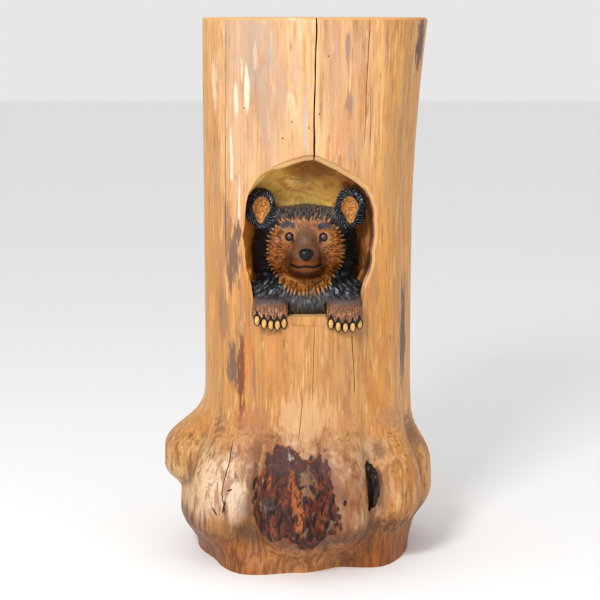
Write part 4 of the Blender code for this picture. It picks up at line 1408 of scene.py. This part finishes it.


# %% [markdown]
# ## The bear's paint
#
# The bear was burnt black, brushed with thin colour, and picked out again: grey tips on the fur,
# partly a painted sheen, an orange-brown face with pale pointed locks, a smooth brown muzzle, and
# brown paws. Painted shade lies under the chin and at the muzzle's sides, and painted highlights
# on the ears' rims.
# The marks kept on the mesh say which colour a place takes, and the comb gives the strokes.

# %% Paint for the bear
def bear_paint():
    finish, make, shader = new_finish("painted_bear", coat_roughness=0.16)
    make.feed(shader["Specular IOR Level"], 0.16)
    place, (x, _, z) = make.place()
    comb = make.mark("comb", 1)
    hair = make.grain(comb, 0.16, 430.0, 3.0, 0.65)
    lock = make.grain(comb, 0.2, 210.0, 2.0, 0.55)
    curl = make.grain(comb, 0.42, 300.0, 3.0, 0.6, 1.0, shift=(3, 0, 5))
    groove = make.mark("groove")
    face_mark = make.mark("face")
    speck = make.noise(place, 260.0, 3.0, 0.6)
    fray = make.math("MULTIPLY_ADD", make.noise(place, 120.0, 3.0, 0.6), 0.9, -0.45)
    patch, smooth_patch = (patcher(make, make.flat(x, z), edge) for edge in (fray, 0.0))

    # Grey tips on the fur's ridges: partly grey paint, partly a painted sheen of the gloss.
    grey_tips_and_sheen = lock.step(0.54, 0.68) * groove.step(0.15, -0.5)
    black = make.mix(grey_tips_and_sheen * 0.45, (0.0035, 0.0035, 0.004), (0.06, 0.07, 0.088))
    high = z.step(0.755, 0.79)
    crown = hair.ramp(0.44, 0.6, (0.018, 0.016, 0.016), (0.19, 0.165, 0.155))
    black = make.mix(high * 0.85, black, crown)
    low = z.step(0.65, 0.618)
    # Pale strokes on the chest: partly grey paint, partly a painted highlight of the gloss.
    chest = hair.ramp(0.52, 0.62, (0.006, 0.007, 0.009), (0.1, 0.108, 0.12))
    chest = make.mix(lock.step(0.55, 0.64) * z.step(0.6, 0.622, 0.3, 1.0), chest, (0.27, 0.29, 0.33))
    sleeve = z.step(0.624, 0.606)
    black = make.layers(
        black,
        (low * 0.9, chest),
        (sleeve * 0.45, (0.07, 0.058, 0.052)),
    )

    skin = curl.ramp(0.43, 0.57, (0.062, 0.014, 0.002), (0.31, 0.088, 0.009))
    beard = z.step(0.648, 0.636) * curl.step(0.44, 0.56, 0.2, 1.0)
    forehead = patch(MIDDLE, 0.768, 0.058, 0.032, 0.45, 0.8)
    tooth = face_mark.step(4.5, 1.0, 0.0, 0.8)
    gap = make.mark("gap").step(0.38, 0.05) * face_mark.step(8.0, 1.5)
    skin = make.layers(
        skin,
        (groove.step(0.2, 0.6, 0.0, 0.75), (0.055, 0.013, 0.002)),
        (groove.step(-0.3, -0.7, 0.0, 0.45), (0.42, 0.15, 0.022)),
        (curl.step(0.61, 0.69, 0.0, 0.7), (0.52, 0.225, 0.052)),
        (beard * 0.8, (0.56, 0.215, 0.04)),
        (forehead, hair.ramp(0.4, 0.6, (0.135, 0.05, 0.022), (0.43, 0.2, 0.095))),
        (tooth * z.step(0.79, 0.74, 0.45, 1.0), (0.5, 0.245, 0.08)),
        (gap * 0.85, (0.03, 0.009, 0.003)),
    )
    for eye_x, eye_z in EYES:
        skin = make.mix(patch(eye_x, eye_z - 0.001, 0.016, 0.015, 0.35, 0.65), skin, (0.42, 0.185, 0.07))
    muzzle = patch(MIDDLE, 0.69, 0.0395, 0.042, 0.14, ragged=0.5)
    bridge = patch(MIDDLE, 0.726, 0.025, 0.028, 0.25, ragged=0.6)
    brown = speck.ramp(0.4, 0.6, (0.112, 0.05, 0.026), (0.165, 0.077, 0.04))
    skin = make.layers(
        skin,
        (muzzle, speck.ramp(0.4, 0.6, (0.105, 0.028, 0.006), (0.165, 0.048, 0.011))),
        (bridge, brown),
        (patch(MIDDLE, 0.702, 0.034, 0.018, 0.4, 0.9), brown),
        (patch(MIDDLE, 0.6812, 0.025, 0.0048, 0.5, 0.85), (0.185, 0.043, 0.004)),
        # A dark brown chin, painted darker still as painted shadow under the chin.
        (patch(MIDDLE, 0.653, 0.037, 0.014, 0.35, 0.94), (0.034, 0.009, 0.002)),
        # An orange lower lip, partly a painted highlight.
        (patch(MIDDLE, 0.6645, 0.019, 0.0038, 0.5, 0.75), (0.16, 0.04, 0.006)),
    )
    # Painted shade at both sides of the muzzle.
    for sign in (-1, 1):
        side = patch(MIDDLE + sign * 0.037, 0.677, 0.01, 0.023, 0.55, 0.8)
        skin = make.mix(side, skin, (0.05, 0.014, 0.004))
    for brow_x, brow_z in ((-0.0425, 0.7555), (0.0365, 0.753)):
        arch_low = patch(brow_x + 0.001, brow_z - 0.01, 0.0115, 0.008, 0.22)
        brow = patch(brow_x, brow_z, 0.0155, 0.0098, 0.14, ragged=0.5)
        brow = brow * make.math("SUBTRACT", 1.0, arch_low, clamp=True)
        skin = make.mix(brow * 0.96, skin, hair.ramp(0.4, 0.6, (0.02, 0.02, 0.028), (0.06, 0.055, 0.07)))
    for (eye_x, eye_z), inner in zip(EYES, (1, -1)):
        ring = smooth_patch(eye_x, eye_z, 0.0093, 0.0098, 0.1)
        tear = smooth_patch(eye_x + inner * 0.0072, eye_z - 0.009, 0.0034, 0.007, 0.3)
        skin = make.mix(make.math("MAXIMUM", ring, tear), skin, (0.022, 0.01, 0.012))
    skin = make.mix(abs(make.mark("mouth_line")).step(3.0, 1.7), skin, (0.007, 0.003, 0.002))
    mixed = make.math("MULTIPLY_ADD", lock, 2.2, make.math("MULTIPLY_ADD", hair, 1.0, -1.6))
    drawn = face_mark + mixed * z.step(0.735, 0.78, 0.0, 26.0)
    colour = make.mix(drawn.step(-0.5, 0.5), black, skin)

    # Painted highlights on the ridges of the ears' black rims.
    ridge_highlight = make.mark("hatch").step(0.36, 0.86) * speck.step(0.46, 0.56, 0.1, 1.0)
    hatch = make.mix(ridge_highlight * 0.95, (0.003, 0.003, 0.004), (0.28, 0.31, 0.38))
    inside = speck.ramp(0.42, 0.58, (0.24, 0.075, 0.01), (0.6, 0.28, 0.085))
    colour = make.layers(
        colour,
        (make.mark("ear_rim"), hatch),
        (make.mark("ear_dish").step(0.35, 0.65), inside),
    )

    stipple = make.math("MULTIPLY_ADD", hair, 0.65, make.noise(place, 300.0, 2.0, 0.6) * 0.35)
    paw = stipple.ramp(0.42, 0.58, (0.11, 0.04, 0.018), (0.22, 0.092, 0.042))
    pale_toe = stipple.step(0.47, 0.58) * z.step(0.596, 0.578)
    wrist = z.step(0.589, 0.607)
    paw = make.layers(
        paw,
        (pale_toe * 0.75, (0.56, 0.3, 0.155)),
        (x.step(0.0, 0.04, 0.0, 0.35), (0.11, 0.036, 0.014)),
        (wrist, (0.075, 0.06, 0.058)),
        (make.mark("paw_side").step(36.5, 38.5) * z.step(0.604, 0.594), (0.008, 0.006, 0.006)),
    )
    colour = make.layers(
        colour,
        (make.mark("paw").step(0.35, 0.65), paw),
        (make.mark("claw_paint").step(-0.06, 0.06), (0.01, 0.008, 0.008)),
    )
    make.coat(shader, colour, lock.step(0.3, 0.7, 0.56, 0.38))
    make.feed(shader["Coat Weight"], make.math("MULTIPLY_ADD", make.mark("ear_rim"), 0.34, 0.05))
    make.bump(shader, hair * 0.9 + face_mark.step(-1.2, 1.2) + lock * 0.8, 0.6, 0.001)
    return finish


def eye_finish():
    """A dark painted eye: a plum-brown iris and a black pupil under gloss."""
    finish, make, shader = new_finish("eye_enamel", coat_weight=0.8, coat_roughness=0.05)
    place, (x, _, z) = make.place()
    patch = patcher(make, make.flat(x, z), 0.0)
    mottle = make.noise(place, 500.0, 3.0, 0.6)
    plum = mottle.ramp(0.35, 0.65, (0.06, 0.02, 0.026), (0.125, 0.052, 0.06))
    colour = (0.006, 0.003, 0.004)
    for eye_x, eye_z in EYES:
        colour = make.layers(
            colour,
            (patch(eye_x, eye_z + 0.0004, 0.0054, 0.0054, 0.18), plum),
            (patch(eye_x, eye_z + 0.0004, 0.0023, 0.0023, 0.25), (0.004, 0.002, 0.003)),
        )
    make.coat(shader, colour, mottle.step(0.3, 0.7, 0.12, 0.2))
    return finish


def gloss_finish(name, deep, light, roughness):
    """A small enamelled piece: two close colours in fine mottling."""
    finish, make, shader = new_finish(name, coat_weight=0.16, coat_roughness=0.08)
    make.feed(shader["Specular IOR Level"], 0.12)
    place, _ = make.place()
    mottle = make.noise(place, 350.0, 3.0, 0.6)
    rough = mottle.step(0.3, 0.7, roughness, roughness + 0.12)
    make.coat(shader, mottle.ramp(0.35, 0.65, deep, light), rough)
    make.bump(shader, mottle, 0.25, 0.0004)
    return finish


# %% [markdown]
# ## Putting the log together
#
# All cuts are made one after another in the trunk. The marks that the finish reads are worked
# out last, from where each point lies on the log.

# %% Make the log
CREASES_TOP = 0.36
FAR_FROM_NICHE = 99.0

pine, scooped, sawn, dark = pine_finish(), niche_finish(), end_finish(), crack_finish()


def mark_log(log):
    """Keeps what the finishes need: creases and small hollows, where shade is painted, the bark and the
    way into the niche.
    """
    x, y, z = places_of(log).T
    bearing = np.degrees(np.arctan2(x, -y))
    here = log_radius(bearing, z)
    around = [log_radius(bearing + turn, z) for turn in (-4.5, 4.5)]
    above = [log_radius(bearing, np.clip(z + step, 0, LOG_HEIGHT)) for step in (-0.016, 0.016)]
    crease = np.where(z < CREASES_TOP, sum(around + above) / 4 - here, 0)
    depth = y + np.sqrt(np.maximum(LOG_RADIUS ** 2 - x ** 2, 0))
    keep(log, crease=crease, relief=growth(bearing, z), bark=bark_patch(bearing, z), niche_depth=depth)
    outline = arch(NICHE_MOUTH, NICHE_STEPS) + (NICHE_MIDDLE, SILL)
    inset = np.full(len(x), FAR_FROM_NICHE)
    near = (np.abs(x) < 0.17) & (y < 0) & (z > SILL) & (z < SILL + NICHE_HEIGHT + 0.01)
    apart = np.stack([x[near], z[near]], -1)[:, None] - outline
    inset[near] = np.linalg.norm(apart, axis=-1).min(axis=1) * 1000
    keep(log, niche_inset=inset)


def make_log():
    log = carved_log(pine)
    cut(log, niche_tool(scooped))
    cut(log, sill_step(0.0022, 0.5755, 0.549, 0.041, pine))
    cut(log, pocket_tool(dark))
    for tool in gouge_tools(dark):
        cut(log, tool)
    for name, start, end, width, depth, wander in CRACKS:
        cut(log, blade(name, wandering(start, end, width, wander, len(name)), depth, dark))
    log.data.materials.append(sawn)
    slots = {slot.name: index for index, slot in enumerate(log.data.materials)}
    for face in log.data.polygons:
        if abs(face.normal.z) > 0.95 and (face.center.z > LOG_HEIGHT - 0.002 or face.center.z < 0.001):
            face.material_index = slots["sawn_end"]
    mark_log(log)
    print("log:", len(log.data.polygons), "faces, finishes", sorted(slots))
    return log


log = make_log()

# %% [markdown]
# ## Putting the bear together

# %% Make the bear
paint = bear_paint()
eye_plum = eye_finish()
nose_black = gloss_finish("nose_enamel", (0.003, 0.003, 0.004), (0.009, 0.01, 0.013), 0.22)
claw_cream = gloss_finish("claw_cream", (0.46, 0.225, 0.06), (0.76, 0.46, 0.17), 0.3)


def make_bear():
    body = carve_skin(bear_skin(paint))
    parts = [eye(body, place, eye_plum) for place in EYES] + [nose(body, nose_black)]
    for place in [place for row in CLAWS for place in row]:
        parts += [claw(body, place, claw_cream), claw(body, place, nose_black, CLAW_BED, CLAW_BED_SETBACK)]
    return joined("carved_bear", [body] + parts)


bear = make_bear()
for piece in (log, bear):
    picked(piece)
    bpy.ops.object.shade_smooth_by_angle(angle=math.radians(55))
    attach(piece, "root")
    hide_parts("carved_bear_log")

# %% [markdown]
# ## Floor, light and camera
#
# A plain pale floor and a white room give soft light from all sides, as in the photograph. One
# large lamp from the upper left in front models the forms.

# %% Floor, light and camera
deselect()
bpy.ops.mesh.primitive_plane_add(size=40)
floor = bpy.context.object
floor.name = "floor"
floor_finish, make, shader = new_finish("pale_floor", roughness=0.9)
make.feed(shader["Base Color"], (0.9, 0.9, 0.9))
floor.data.materials.append(floor_finish)

room = bpy.data.worlds.new("white_room")
bpy.context.scene.world = room
room.use_nodes = True
room.node_tree.nodes["Background"].inputs["Color"].default_value = (1, 1, 1, 1)
room.node_tree.nodes["Background"].inputs["Strength"].default_value = 0.8


def lamp(name, place, target, size, power):
    data = bpy.data.lights.new(name, "AREA")
    data.size, data.energy = size, power
    holder = bpy.data.objects.new(name, data)
    bpy.context.scene.collection.objects.link(holder)
    holder.location = place
    holder.rotation_euler = (Vector(target) - Vector(place)).to_track_quat("-Z", "Y").to_euler()


lamp("key", (-1.2, -3.2, 2.8), (0, 0, 0.8), 0.9, 120)

view = bpy.data.cameras.new("camera")
view.lens = 107.52
camera = bpy.data.objects.new("camera", view)
bpy.context.scene.collection.objects.link(camera)
camera.location = (-0.016, -4.0, 1.22)
camera.rotation_euler = (math.radians(80.75), 0, 0)
bpy.context.scene.camera = camera
bpy.context.scene.view_settings.view_transform = "Standard"
